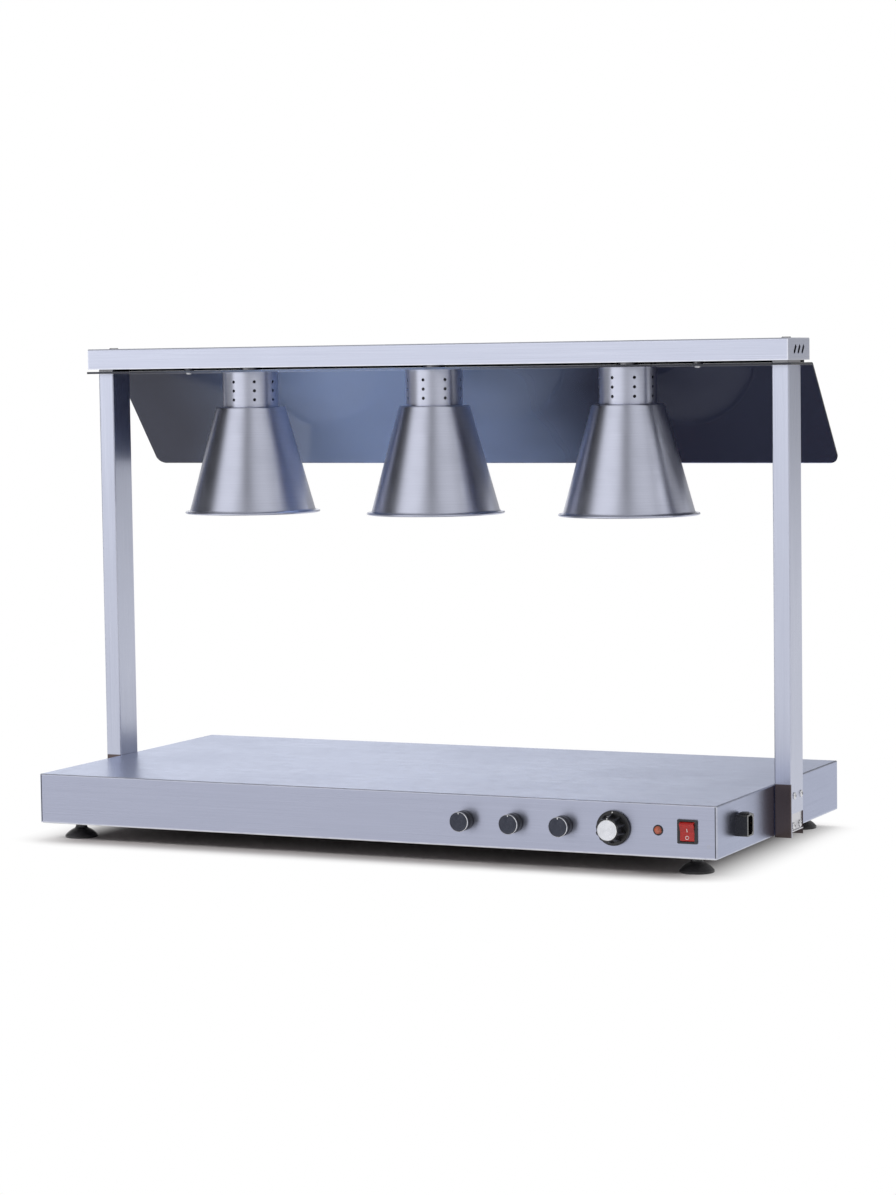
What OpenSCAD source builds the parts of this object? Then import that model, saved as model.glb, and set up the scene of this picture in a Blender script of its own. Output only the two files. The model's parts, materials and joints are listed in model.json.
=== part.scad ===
// Heated buffet station: a warming plate on four feet, two posts, and a beam that
// carries three infrared lamps in cone shades with a bent, tinted guard behind them.
// Millimetres. +X is the operator's right, +Y points away from the operator, +Z is up.
// The origin is the centre of the bounding box's footprint, on the counter.

/* [Base] */
// Width of the base
base_w = 1000; // [900:1:1100]
// Depth of the base
base_d = 490; // [460:1:540]
// Height of the base's folded walls
base_h = 68; // [66:1:80]
// Thickness of the base's sheet
sheet_t = 1.2; // [0.8:0.1:1.5]
// Outer radius of the base's folded edges
fold_r = 2; // [1.6:0.1:3]
// Width of the return flange under the base
flange_w = 14; // [10:1:18]
// Thickness of the bottom pan
pan_t = 1; // [0.8:0.1:1.5]

/* [Feet] */
// Height of a foot under the pan
foot_h = 22.5; // [20:0.5:30]
// Radius of a foot's pad
foot_r = 22.7; // [18:0.1:26]
// Radius of a foot's neck at the top
foot_neck_r = 7.8; // [7:0.1:10]
// Distance of a foot's axis from the base's side wall
foot_inset_x = 42; // [38:1:50]
// Distance of a foot's axis from the base's front or back wall
foot_inset_y = 39; // [38:1:50]
// Radius of the threaded stud
stud_r = 4; // [3:0.1:5]
// Length of the stud above the foot
stud_l = 22; // [20:0.5:30]

/* [Posts] */
// Width of a post, along X
post_w = 24; // [22:1:30]
// Depth of a post, along Y
post_d = 48; // [46:1:60]
// Wall of a post
post_wall = 1.5; // [1.2:0.1:2]
// Radius of a post's folded edges
post_r = 2; // [1.8:0.1:3]
// How far a post reaches below the base's walls
post_drop = 2.5; // [0:0.5:4]
// Height of the serving space, from the plate to the guard's flange
serving_h = 553.5; // [500:0.5:600]
// Height of the cut-out in a post's outer wall above the post's lower end
window_h = 31.5; // [30:0.5:34]

/* [Beam] */
// How far the beam reaches past each post
beam_overhang = 5.5; // [3:0.5:20]
// Depth of the beam
beam_d = 88; // [84:1:100]
// Height of the beam
beam_h = 29.2; // [28:0.1:40]
// Thickness of the beam's sheet
beam_t = 1.2; // [0.8:0.1:1.5]
// Outer radius of the beam's folded edges
beam_r = 2.6; // [1.8:0.1:4]
// Thickness of the pads between the guard and the beam
pad_t = 3.2; // [2:0.1:5]
// Number of vent slots in each end cap
end_slots = 3; // [1:1:4]

/* [Guard] */
// How far the guard reaches past each end of the beam
guard_overhang = 3; // [0:0.5:20]
// Thickness of the guard's sheet
guard_t = 3; // [2:0.5:5]
// How far the flange's front edge lies behind the beam's front face
guard_setback = 2; // [0:0.5:6]
// How far behind the beam's back face the guard's bend begins
guard_bend_back = 0.5; // [0:0.5:8]
// Distance of the guard's screws from the posts' axes
guard_screw_inset = 124; // [60:1:130]
// Inner radius of the guard's bend
guard_bend_r = 5; // [3:0.5:10]
// Angle of the sloping part below the horizontal
guard_angle = 50.2; // [40:0.1:65]
// Length of the sloping part
guard_slope = 173; // [120:1:200]
// Radius of the lower corners
guard_corner_r = 13; // [5:1:30]

/* [Lamps] */
// Distance between the lamps
lamp_pitch = 288; // [260:1:300]
// Outer radius of a vented neck
neck_r = 39.4; // [36:0.1:42]
// Height of a vented neck
neck_h = 49.5; // [48:0.5:60]
// Wall of the neck
neck_wall = 0.8; // [0.6:0.1:1.2]
// Outer radius of the shade at its shoulder
shoulder_r = 49.7; // [46:0.1:56]
// Radius of the rounded shoulder
shoulder_round = 3; // [2:0.5:8]
// Outer radius of the cone where it flares out to the rim
cone_r = 88.7; // [84:0.1:89]
// Outer radius of the rolled rim
rim_r = 96; // [94:0.5:108]
// Radius of the rim's bead
bead_r = 1.6; // [1.4:0.1:2.5]
// Height of the shade, from the rim to the shoulder
shade_h = 150.3; // [140:0.1:170]
// Wall of the shade
shade_wall = 1; // [0.8:0.1:1.5]
// Holes round the neck in one row
vent_columns = 8; // [5:1:10]
// Rows of holes in the neck
vent_rows = 3; // [1:1:3]
// Radius of a hole in the neck
vent_r = 2.2; // [1:0.1:3]
// Distance between the rows
vent_pitch = 12.6; // [8:0.1:13]
// Radius of the lamp's reflector bulb
bulb_r = 62.5; // [50:0.5:65]
// Length of the lamp, from its face to its contact
bulb_l = 168; // [160:1:181]

/* [Controls] */
// Height of the controls' axes above the base's lower edge
control_up = 34; // [32:0.5:38]
// Distance of the rocker switch from the base's right side
rocker_inset = 39.5; // [36:0.5:42]
// Distance of the indicator from the base's right side
indicator_inset = 79.5; // [74:0.5:88]
// Distance of the thermostat dial from the base's right side
dial_inset = 140; // [130:1:150]
// Distance of the right lamp knob from the base's right side
knob_inset = 210; // [200:1:230]
// Distance between the lamp knobs
knob_pitch = 70; // [50:1:80]
// Radius of a lamp knob
knob_r = 13; // [10:0.5:16]
// How far a lamp knob stands out of the panel
knob_reach = 20; // [17:0.5:24]
// Radius of the dial's skirt
dial_r = 22.7; // [20:0.1:24]
// How far the dial stands out of the panel
dial_reach = 25; // [22:0.5:30]
// Grip scallops round the dial
dial_scallops = 10; // [6:1:14]
// Radius of the dial's metal cap
dial_cap_r = 13.4; // [11:0.1:14]
// Radius of a control's shaft
shaft_r = 3; // [2.5:0.1:3.2]
// Running clearance of a shaft in its bushing
shaft_clear = 0.05; // [0.03:0.01:0.09]
// Width of the rocker's bezel
rocker_w = 27; // [26:0.5:30]
// Height of the rocker's bezel
rocker_h = 31; // [30:0.5:34]
// Half of the rocker's tilt
rocker_tilt = 10; // [6:1:12]

/* [Power inlet] */
// Distance of the inlet's axis from the base's front
inlet_inset = 81; // [66:1:95]
// Width of the inlet's shroud, along Y
inlet_w = 25; // [24:0.5:30]
// Height of the inlet's shroud
inlet_h = 28; // [27.5:0.5:32]
// How far the shroud stands out of the side wall
inlet_reach = 16; // [12:0.5:20]

/* [Heating] */
// Distance of the heat tray from each of the base's sides
tray_inset = 100; // [96:1:150]
// Distance between the runs
run_pitch = 50; // [40:1:54]
// Number of runs, always an even number
runs = 6; // [2:2:6]
// Radius of the sheathed element
element_r = 3.25; // [3:0.05:4]
// Depth of the heat tray under the plate
tray_h = 32; // [31:1:36]
// Thickness of the insulation
insulation_t = 20; // [10:1:20]

/* [Hidden] */
$fn = 64;
fit = 0.2;            // gap between parts that slip together
seat = 0.1;           // gap between round parts and what carries them
hole_over = 0.25;     // how much a clearance hole is larger in radius than its screw
cut = 1;              // how far a cutting body runs past a face

// Levels, from the counter up
pan_z = foot_h;
base_z = pan_z + pan_t;
plate_z = base_z + base_h;
under_plate_z = plate_z - sheet_t;
guard_z = plate_z + serving_h;
beam_z = guard_z + guard_t + pad_t;
beam_top = beam_z + beam_h;
neck_z = guard_z - neck_h;
rim_z = neck_z - shade_h;
control_z = base_z + control_up;

// Places
beam_l = base_w + 2 * post_w + 2 * beam_overhang;
guard_l = beam_l + 2 * guard_overhang;
rocker_x = base_w / 2 - rocker_inset;
indicator_x = base_w / 2 - indicator_inset;
dial_x = base_w / 2 - dial_inset;
knob_x = base_w / 2 - knob_inset - 2 * knob_pitch;
base_y = dial_reach / 2;          // the base's middle, so that the bounding box is centred
front = -base_d / 2;              // front face, from the base's middle
foot_x = base_w / 2 - foot_inset_x;
foot_y = base_d / 2 - foot_inset_y;
post_x = base_w / 2 + post_w / 2;
post_z = base_z - post_drop;
post_h = guard_z - post_z;
outer_x = base_w / 2 + post_w;
inlet_y = front + inlet_inset;

// Fasteners
screw_r = 2.5;
screw_head_r = 4.7;
screw_head_h = 2.7;
screw_y = 13.5;
screw_low = 12.5;                 // lower pair above the base's edge
screw_high = 52.5;                // upper pair above the base's edge
nut_h = 4;
nut_across = 8;
socket_r = 1.75;
socket_depth = 1.6;
bolt_r = 4;
bolt_head_r = 7;
bolt_head_h = 1.6;
bolt_socket_r = 2.9;
bolt_nut_across = 13;
bolt_nut_h = 6.5;
guard_screw_x = post_x - guard_screw_inset;
top_plate_t = 3;
cable_r = 3;
lead_r = 2;
cable_y = 14;
nipple_r = 5;
nipple_bore_r = 3.4;
nipple_nut_h = 4;
nipple_nut_across = 14;

// Post anchor
anchor_t = 1.5;
anchor_z = base_z + 5;
anchor_h = 59.5;

// Heating
tray_t = 1;
tray_flange = 10;
tray_w = base_w - 2 * tray_inset;
run_l = tray_w - 100;
tray_d = (runs - 1) * run_pitch + 70;
element_z = under_plate_z - seat - element_r;
element_out = 12;                 // how far the element's ends leave the tray
clamp_w = 20;
clamp_t = 1.5;

// Controls
panel_gap = 1.2;
knob_skirt = 2;
bushing_r = 3.5;
bushing_l = 7;
bushing_nut_t = 2;
bushing_nut_across = 10;
pot_r = 12;
pot_l = 10;
knob_cap_t = 2;
dial_cap_t = 1.5;
shaft_tip = 4;                    // how far a shaft ends behind a knob's front
thermostat_w = 36;
thermostat_l = 26;
rocker_well_w = 19.6;
rocker_well_h = 26;
rocker_bezel_t = 2;
rocker_body_l = 22;
rocker_axis = 2;                  // pivot behind the panel's face
rocker_swing_r = rocker_well_h / 2 - 0.4;
pivot_r = 1.5;
indicator_r = 6;
indicator_rim_r = 7;
indicator_rim_t = 1.2;
lens_r = 5.2;
lens_rise = 3.6;

steel = [0.74, 0.75, 0.80];
plain_steel = [0.62, 0.63, 0.66];
black_plastic = [0.05, 0.05, 0.06];
smoke = [0.20, 0.22, 0.30];
brass = [0.80, 0.65, 0.35];
white_ceramic = [0.92, 0.91, 0.88];
red_plastic = [0.78, 0.10, 0.08];

// Shared shapes

module at_base() { translate([0, base_y, 0]) children(); }

// Puts a child drawn along +Z at a control, with +Z pointing out of the front panel
module at_control(x, out = 0) {
    translate([x, front - out, control_z]) rotate([90, 0, 0]) children();
}

module both_sides() {
    for (side = [-1, 1]) scale_side(side) children();
}

// Mirrors a child that is drawn on the right over to the left
module scale_side(side) {
    if (side > 0) children();
    else mirror([1, 0, 0]) children();
}

module rounded_rect(w, d, r) {
    square([w - 2 * r, d], center = true);
    square([w, d - 2 * r], center = true);
    for (x = [-1, 1], y = [-1, 1])
        translate([x * (w / 2 - r), y * (d / 2 - r)]) circle(r);
}

// A wall section that stands on y = 0, with rounded upper corners
module arch_rect(w, h, r) {
    translate([-w / 2, 0]) square([w, h - r]);
    translate([-w / 2 + r, 0]) square([w - 2 * r, h]);
    for (x = [-1, 1]) translate([x * (w / 2 - r), h - r]) circle(r);
}

// A slot with round ends, l long over all
module slot_2d(l, r) {
    square([l - 2 * r, 2 * r], center = true);
    for (x = [-1, 1]) translate([x * (l / 2 - r), 0]) circle(r);
}

module hex_nut(r, across, h) {
    difference() {
        cylinder(r = across / 2 / cos(30), h = h, $fn = 6);
        translate([0, 0, -cut]) cylinder(r = r, h = h + 2 * cut);
    }
}

// A button-head screw along -Z with a hexagon socket, its head standing on z = 0
module button_screw(l) {
    difference() {
        union() {
            translate([0, 0, -l]) cylinder(r = screw_r, h = l + screw_head_h / 2);
            rotate_extrude() intersection() {
                translate([0, screw_head_h - screw_head_r * 1.6]) circle(screw_head_r * 1.6);
                square([screw_head_r, screw_head_h]);
            }
        }
        translate([0, 0, screw_head_h - socket_depth]) cylinder(r = socket_r, h = socket_depth + cut, $fn = 6);
    }
}

module shaft_shape(r, l) {
    difference() {
        cylinder(r = r, h = l);
        translate([-r, r / 2, l - 9]) cube([2 * r, r, 10]);
    }
}

// A cable through a list of points
module cable(points, r) {
    for (i = [0 : len(points) - 2]) {
        step = points[i + 1] - points[i];
        turn = atan2(step[1], step[0]);
        tilt = acos(step[2] / norm(step));
        translate(points[i]) rotate([0, tilt, turn]) cylinder(r = r, h = norm(step), $fn = 24);
        if (i > 0) translate(points[i]) sphere(r = r * 1.06, $fn = 24);
    }
}

function arc(cx, cy, r, from, to, steps) =
    [for (i = [0 : steps]) let (a = from + (to - from) * i / steps)
        [cx + r * cos(a), cy + r * sin(a)]];

// Base

module base_shell() {
    color(steel) at_base() difference() {
        base_outer();
        translate([-base_w / 2 + sheet_t, -base_d / 2 + sheet_t, base_z + sheet_t])
            cube([base_w - 2 * sheet_t, base_d - 2 * sheet_t, base_h - 2 * sheet_t]);
        translate([-base_w / 2 + flange_w, -base_d / 2 + flange_w, base_z - cut])
            cube([base_w - 2 * flange_w, base_d - 2 * flange_w, base_h / 2]);
        panel_holes();
        side_holes();
    }
}

module base_outer() {
    intersection() {
        translate([0, 0, base_z]) linear_extrude(base_h) rounded_rect(base_w, base_d, fold_r);
        translate([0, base_d, base_z]) rotate([90, 0, 0])
            linear_extrude(2 * base_d) arch_rect(base_w, base_h, fold_r);
        translate([-base_w, 0, base_z]) rotate([90, 0, 90])
            linear_extrude(2 * base_w) arch_rect(base_d, base_h, fold_r);
    }
}

module panel_holes() {
    for (i = [0 : 2]) at_control(knob_x + i * knob_pitch, -sheet_t - cut)
        cylinder(r = bushing_r + fit, h = sheet_t + 2 * cut);
    at_control(dial_x, -sheet_t - cut) cylinder(r = bushing_r + fit, h = sheet_t + 2 * cut);
    at_control(indicator_x, -sheet_t - cut) cylinder(r = indicator_r + seat, h = sheet_t + 2 * cut);
    at_control(rocker_x, -sheet_t - cut) linear_extrude(sheet_t + 2 * cut)
        square([rocker_well_w + 2 * rocker_wall + 2 * fit, rocker_well_h + 2 * rocker_wall + 2 * fit],
               center = true);
}

module side_holes() {
    both_sides() for (y = [-1, 1], z = [screw_low, screw_high])
        translate([base_w / 2 - sheet_t - cut, y * screw_y, base_z + z]) rotate([0, 90, 0])
            cylinder(r = screw_r + hole_over, h = sheet_t + 2 * cut);
    translate([base_w / 2 - sheet_t - cut, 0, control_z]) rotate([0, 90, 0])
        cylinder(r = cable_r + 2 * hole_over, h = sheet_t + 2 * cut);
    translate([base_w / 2 - sheet_t - cut, inlet_y, control_z]) rotate([90, 0, 90])
        linear_extrude(sheet_t + 2 * cut)
            square([inlet_neck_w + 2 * fit, inlet_neck_h + 2 * fit], center = true);
}

pan_margin = 2;
pan_slot_l = 40;
pan_slot_r = 2.5;
pan_slot_count = 9;

module bottom_pan() {
    color(plain_steel) at_base() difference() {
        translate([0, 0, pan_z]) linear_extrude(pan_t)
            rounded_rect(base_w - 2 * pan_margin, base_d - 2 * pan_margin, fold_r);
        for (x = [-foot_x, foot_x], y = [-foot_y, foot_y])
            translate([x, y, pan_z - cut]) cylinder(r = stud_r + hole_over, h = pan_t + 2 * cut);
        for (i = [0 : pan_slot_count - 1], y = [-1, 1])
            translate([(i - (pan_slot_count - 1) / 2) * 2 * pan_slot_l, y * base_d / 4, pan_z - cut])
                linear_extrude(pan_t + 2 * cut) slot_2d(pan_slot_l, pan_slot_r);
    }
}

foot_plate_w = 40;
foot_plate_t = 2;
foot_nut_h = 6;
foot_nut_across = 13;

module foot_nuts() {
    color(plain_steel) at_base() for (x = [-foot_x, foot_x], y = [-foot_y, foot_y])
        translate([x, y, base_z]) {
            difference() {
                linear_extrude(foot_plate_t) square(foot_plate_w, center = true);
                translate([0, 0, -cut]) cylinder(r = stud_r + shaft_clear, h = foot_plate_t + 2 * cut);
            }
            translate([0, 0, foot_plate_t]) hex_nut(stud_r + shaft_clear, foot_nut_across, foot_nut_h);
        }
}

// Heating

module heating_element() {
    top_run = (runs - 1) / 2 * run_pitch;
    color(plain_steel) at_base() translate([0, 0, element_z]) {
        for (i = [0 : runs - 1]) {
            end_run = i == 0 || i == runs - 1;
            extra = end_run ? tray_w / 2 - run_l / 2 + element_out : 0;
            translate([-run_l / 2, i * run_pitch - top_run, 0]) rotate([0, 90, 0])
                cylinder(r = element_r, h = run_l + extra);
        }
        for (i = [0 : runs - 2])
            translate([(i % 2 == 0 ? -1 : 1) * run_l / 2, i * run_pitch - top_run + run_pitch / 2, 0])
                rotate([0, 0, i % 2 == 0 ? 90 : -90])
                    rotate_extrude(angle = 180) translate([run_pitch / 2, 0]) circle(element_r);
    }
}

module element_clamps() {
    leg_y = tray_d / 2 - 2 * tray_t - clamp_t;
    low = element_z - element_r - seat - clamp_t;
    color(plain_steel) at_base() for (x = [-1, 0, 1])
        translate([x * run_l / 3 - clamp_w / 2, 0, 0]) rotate([90, 0, 90]) linear_extrude(clamp_w) {
            translate([-leg_y - clamp_t, low]) square([2 * leg_y + 2 * clamp_t, clamp_t]);
            for (y = [-leg_y - clamp_t, leg_y]) translate([y, low]) square([clamp_t, under_plate_z - low]);
        }
}

module heat_tray() {
    tray_z = under_plate_z - tray_h;
    end_y = (runs - 1) / 2 * run_pitch;
    notch_r = element_r + seat;
    color(plain_steel) at_base() difference() {
        union() {
            translate([-tray_w / 2, -tray_d / 2, tray_z]) cube([tray_w, tray_d, tray_h]);
            translate([-tray_w / 2 - tray_flange, -tray_d / 2 - tray_flange, under_plate_z - tray_t])
                cube([tray_w + 2 * tray_flange, tray_d + 2 * tray_flange, tray_t]);
        }
        translate([-tray_w / 2 + tray_t, -tray_d / 2 + tray_t, tray_z + tray_t])
            cube([tray_w - 2 * tray_t, tray_d - 2 * tray_t, tray_h]);
        for (y = [-end_y, end_y]) translate([tray_w / 2 - tray_t - cut, y - notch_r, element_z - notch_r])
            cube([tray_t + tray_flange + 2 * cut, 2 * notch_r, 2 * notch_r + cut]);
        translate([capillary_x + 6, 0, capillary_z]) rotate([90, 0, 0])
            cylinder(r = capillary_r + hole_over, h = tray_d);
    }
}

module insulation() {
    color([0.95, 0.94, 0.90]) at_base()
        translate([-tray_w / 2 + 2 * tray_t, -tray_d / 2 + 2 * tray_t, under_plate_z - tray_h + tray_t])
            cube([tray_w - 4 * tray_t, tray_d - 4 * tray_t, insulation_t]);
}

// Thermostat

capillary_r = 1;
sensor_r = 3;
sensor_l = 80;
capillary_x = dial_x - 60;
capillary_z = element_z - element_r - capillary_r - 2 * fit;

module thermostat() {
    color(plain_steel) at_base() {
        difference() {
            union() {
                at_control(dial_x, -sheet_t - thermostat_l) linear_extrude(thermostat_l)
                    square(thermostat_w, center = true);
                at_control(dial_x, -sheet_t - cut) cylinder(r = bushing_r, h = sheet_t + cut + bushing_l);
            }
            at_control(dial_x, -sheet_t - thermostat_l / 2)
                cylinder(r = shaft_r + shaft_clear, h = thermostat_l + bushing_l);
        }
        at_control(dial_x) hex_nut(bushing_r + shaft_clear, bushing_nut_across, bushing_nut_t);
        translate([capillary_x, 0, element_z]) rotate([0, -90, 0]) cylinder(r = sensor_r, h = sensor_l);
        cable([
            [capillary_x - 2, 0, element_z],
            [capillary_x + 6, 0, element_z],
            [capillary_x + 6, 0, capillary_z],
            [capillary_x + 6, -tray_d / 2 - 12, capillary_z],
            [dial_x, front + sheet_t + thermostat_l - 4, capillary_z],
            [dial_x, front + sheet_t + thermostat_l - 4, control_z + thermostat_w / 2 - 2]
        ], capillary_r);
    }
}

module thermostat_shaft() {
    color(plain_steel) at_base() at_control(dial_x, -sheet_t - thermostat_l / 2)
        shaft_shape(shaft_r, sheet_t + thermostat_l / 2 + dial_reach - shaft_tip);
}

dial_skirt_h = 4;
dial_grip_r = 19.5;
dial_front_r = 15.8;
scallop_r = 5;
scallop_depth = 1.6;
dial_shell = 2;
dial_boss_r = 6.5;

module thermostat_dial() {
    body_h = dial_reach - panel_gap - dial_cap_t;
    color(black_plastic) at_base() at_control(dial_x, panel_gap) difference() {
        union() {
            cylinder(r = dial_r, h = dial_skirt_h - 1);
            translate([0, 0, dial_skirt_h - 1]) cylinder(r1 = dial_r, r2 = dial_r - 1, h = 1);
            difference() {
                translate([0, 0, dial_skirt_h - 1])
                    cylinder(r1 = dial_grip_r, r2 = dial_front_r, h = body_h - dial_skirt_h + 1);
                for (i = [0 : dial_scallops - 1]) rotate([0, 0, i * 360 / dial_scallops])
                    translate([dial_front_r + scallop_r - scallop_depth, 0, dial_skirt_h])
                        cylinder(r = scallop_r, h = body_h);
            }
        }
        difference() {
            translate([0, 0, -cut])
                cylinder(r = dial_front_r - scallop_depth - dial_shell, h = body_h - dial_shell - 1 + cut);
            cylinder(r = dial_boss_r, h = body_h);
        }
        bushing_space();
        knob_bore(dial_reach - panel_gap - shaft_tip);
    }
}

// Room behind a knob for the bushing and its nut
module bushing_space() {
    nut_r = bushing_nut_across / 2 / cos(30);
    translate([0, 0, -cut]) cylinder(r = bushing_r + 2 * fit, h = bushing_l + cut);
    translate([0, 0, -cut]) cylinder(r = nut_r + 2 * fit, h = bushing_nut_t - panel_gap + 2 * fit + cut);
}

// The bore that a shaft with a flat is pushed into
module knob_bore(h) {
    difference() {
        translate([0, 0, -cut]) cylinder(r = shaft_r + shaft_clear, h = h + cut + fit);
        translate([-shaft_r, shaft_r / 2 + shaft_clear, h - 9 + fit]) cube([2 * shaft_r, shaft_r, 10]);
    }
}

module dial_cap() {
    color([0.86, 0.87, 0.90]) at_base() at_control(dial_x, dial_reach - dial_cap_t) union() {
        cylinder(r = dial_cap_r, h = dial_cap_t - 0.6);
        translate([0, 0, dial_cap_t - 0.6]) cylinder(r1 = dial_cap_r, r2 = dial_cap_r - 0.6, h = 0.6);
    }
}

// Lamp dimmers

fin_count = 5;
board_w = 46;
board_t = 1.6;
sink_w = 30;
sink_l = 14;
fin_t = 1.6;

module dimmer_modules() {
    color([0.16, 0.30, 0.22]) at_base() for (i = [0 : 2]) {
        x = knob_x + i * knob_pitch;
        difference() {
            union() {
                at_control(x, -sheet_t - pot_l) cylinder(r = pot_r, h = pot_l);
                at_control(x, -sheet_t - cut) cylinder(r = bushing_r, h = sheet_t + cut + bushing_l);
                at_control(x, -sheet_t - pot_l - board_t) linear_extrude(board_t)
                    square(board_w, center = true);
                at_control(x, -sheet_t - pot_l - board_t - 3) linear_extrude(3)
                    square(sink_w, center = true);
                for (k = [0 : fin_count - 1])
                    at_control(x, -sheet_t - pot_l - board_t - sink_l) linear_extrude(sink_l)
                        translate([(k / (fin_count - 1) - 0.5) * (sink_w - fin_t), 0])
                            square([fin_t, sink_w], center = true);
            }
            at_control(x, -sheet_t - pot_l + 2)
                cylinder(r = shaft_r + shaft_clear, h = pot_l + bushing_l + 2 * cut);
        }
        at_control(x) hex_nut(bushing_r + shaft_clear, bushing_nut_across, bushing_nut_t);
    }
}

module dimmer_shaft(i) {
    color(plain_steel) at_base() at_control(knob_x + i * knob_pitch, -sheet_t - pot_l + 2 + seat)
        shaft_shape(shaft_r, sheet_t + pot_l - 2 - seat + knob_reach - shaft_tip);
}

knob_boss_r = 5.5;
knob_groove = 0.5;

module lamp_knob(i) {
    body_h = knob_reach - panel_gap - knob_cap_t;
    color(black_plastic) at_base() at_control(knob_x + i * knob_pitch, panel_gap) difference() {
        rotate_extrude() polygon([
            [0, 0], [knob_r, 0], [knob_r, body_h * 0.55],
            [knob_r - knob_groove, body_h * 0.6], [knob_r - knob_groove, body_h - 1.6],
            [knob_r, body_h - 1.2], [knob_r, body_h], [0, body_h]
        ]);
        difference() {
            translate([0, 0, -cut]) cylinder(r = knob_r - knob_skirt, h = body_h - 3 + cut);
            cylinder(r = knob_boss_r, h = body_h);
        }
        bushing_space();
        knob_bore(knob_reach - panel_gap - shaft_tip);
    }
}

knob_notch_w = 1.6;
knob_notch_l = 3;

module knob_cap(i) {
    color([0.30, 0.31, 0.38]) at_base() at_control(knob_x + i * knob_pitch, knob_reach - knob_cap_t)
        difference() {
            union() {
                cylinder(r = knob_r, h = knob_cap_t - 0.9);
                translate([0, 0, knob_cap_t - 0.9]) cylinder(r1 = knob_r, r2 = knob_r - 0.9, h = 0.9);
            }
            translate([-knob_notch_w / 2, knob_r - knob_notch_l, knob_cap_t - 0.4])
                cube([knob_notch_w, knob_notch_l + cut, cut]);
        }
}

// Rocker switch and indicator

rocker_wall = 0.9;
tab_w = 6.3;
tab_t = 0.8;
tab_l = 8;

module rocker_housing() {
    well_l = rocker_axis + rocker_swing_r + fit;
    body_w = rocker_well_w + 2 * rocker_wall;
    body_h = rocker_well_h + 2 * rocker_wall;
    color(black_plastic) at_base() difference() {
        union() {
            at_control(rocker_x, -sheet_t - rocker_body_l) linear_extrude(sheet_t + rocker_body_l)
                square([body_w, body_h], center = true);
            at_control(rocker_x) linear_extrude(rocker_bezel_t) rounded_rect(rocker_w, rocker_h, 1.5);
            for (x = [-1, 1], z = [-1, 1])
                at_control(rocker_x, -sheet_t - rocker_body_l - tab_l)
                    translate([x * body_w / 4, z * body_h / 4, 0]) linear_extrude(tab_l)
                        square([tab_t, tab_w], center = true);
        }
        at_control(rocker_x, -well_l) linear_extrude(well_l + rocker_bezel_t + cut)
            square([rocker_well_w, rocker_well_h], center = true);
        translate([rocker_x - body_w / 2 - cut, front + rocker_axis, control_z]) rotate([0, 90, 0])
            cylinder(r = pivot_r + shaft_clear, h = body_w + 2 * cut);
    }
}

paddle_gap = 0.2;
paddle_mid = 3.8;                 // face of the paddle in front of its pivot, at the middle
paddle_rise = 2.4;                // how much further the two ends stand out
paddle_back = 6;
pin_end = 0.5;

module rocker_paddle() {
    paddle_w = rocker_well_w - 2 * paddle_gap;
    half = rocker_swing_r - 1;
    ends = paddle_mid + paddle_rise;
    color(red_plastic) at_base() translate([rocker_x, front + rocker_axis, control_z])
        rotate([rocker_tilt, 0, 0]) {
            translate([-paddle_w / 2, 0, 0]) rotate([90, 0, 90]) linear_extrude(paddle_w) intersection() {
                circle(rocker_swing_r);
                polygon([
                    [-paddle_mid, 0], [-ends, half], [-ends, rocker_swing_r],
                    [paddle_back, rocker_swing_r], [paddle_back, -rocker_swing_r],
                    [-ends, -rocker_swing_r], [-ends, -half]
                ]);
            }
            rotate([0, 90, 0]) cylinder(r = pivot_r, h = rocker_well_w + 2 * pin_end, center = true);
        }
}

module indicator_housing() {
    color(black_plastic) at_base() difference() {
        union() {
            at_control(indicator_x, -indicator_body_l) cylinder(r = indicator_r, h = indicator_body_l);
            at_control(indicator_x)
                cylinder(r1 = indicator_rim_r, r2 = indicator_rim_r - 0.5, h = indicator_rim_t);
        }
        at_control(indicator_x, -lens_depth)
            cylinder(r = lens_r + seat, h = lens_depth + indicator_rim_t + cut);
    }
}

indicator_body_l = 22;
lens_depth = 4;

module indicator_lens() {
    ball_r = (lens_r * lens_r + lens_rise * lens_rise) / (2 * lens_rise);
    color([0.85, 0.35, 0.20]) at_base() at_control(indicator_x, -lens_depth) rotate_extrude() union() {
        square([lens_r, lens_depth + indicator_rim_t]);
        intersection() {
            translate([0, lens_depth + indicator_rim_t + lens_rise - ball_r]) circle(ball_r);
            translate([0, lens_depth]) square([lens_r, lens_rise + indicator_rim_t + cut]);
        }
    }
}

// Power inlet

inlet_key = [3, 8, 1.6];          // rib on top of the shroud: length, width, height
inlet_neck_w = 21;
inlet_neck_h = 24;
inlet_depth = 14;
recess_w = 16.6;
recess_h = 24.6;
recess_cut = 4;
inlet_floor = 1;
pin_l = 12.5;
pin_w = 4;
pin_t = 2;
pin_pitch = 14;
earth_shift = 4;

module recess_2d() {
    polygon([
        [-recess_w / 2, -recess_h / 2], [recess_w / 2 - recess_cut, -recess_h / 2],
        [recess_w / 2, -recess_h / 2 + recess_cut], [recess_w / 2, recess_h / 2 - recess_cut],
        [recess_w / 2 - recess_cut, recess_h / 2], [-recess_w / 2, recess_h / 2]
    ]);
}

// Puts a child drawn along +Z at the inlet, pointing out of the side wall
module at_inlet(out = 0) {
    translate([base_w / 2 + out, inlet_y, control_z]) rotate([90, 0, 90]) children();
}

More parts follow.
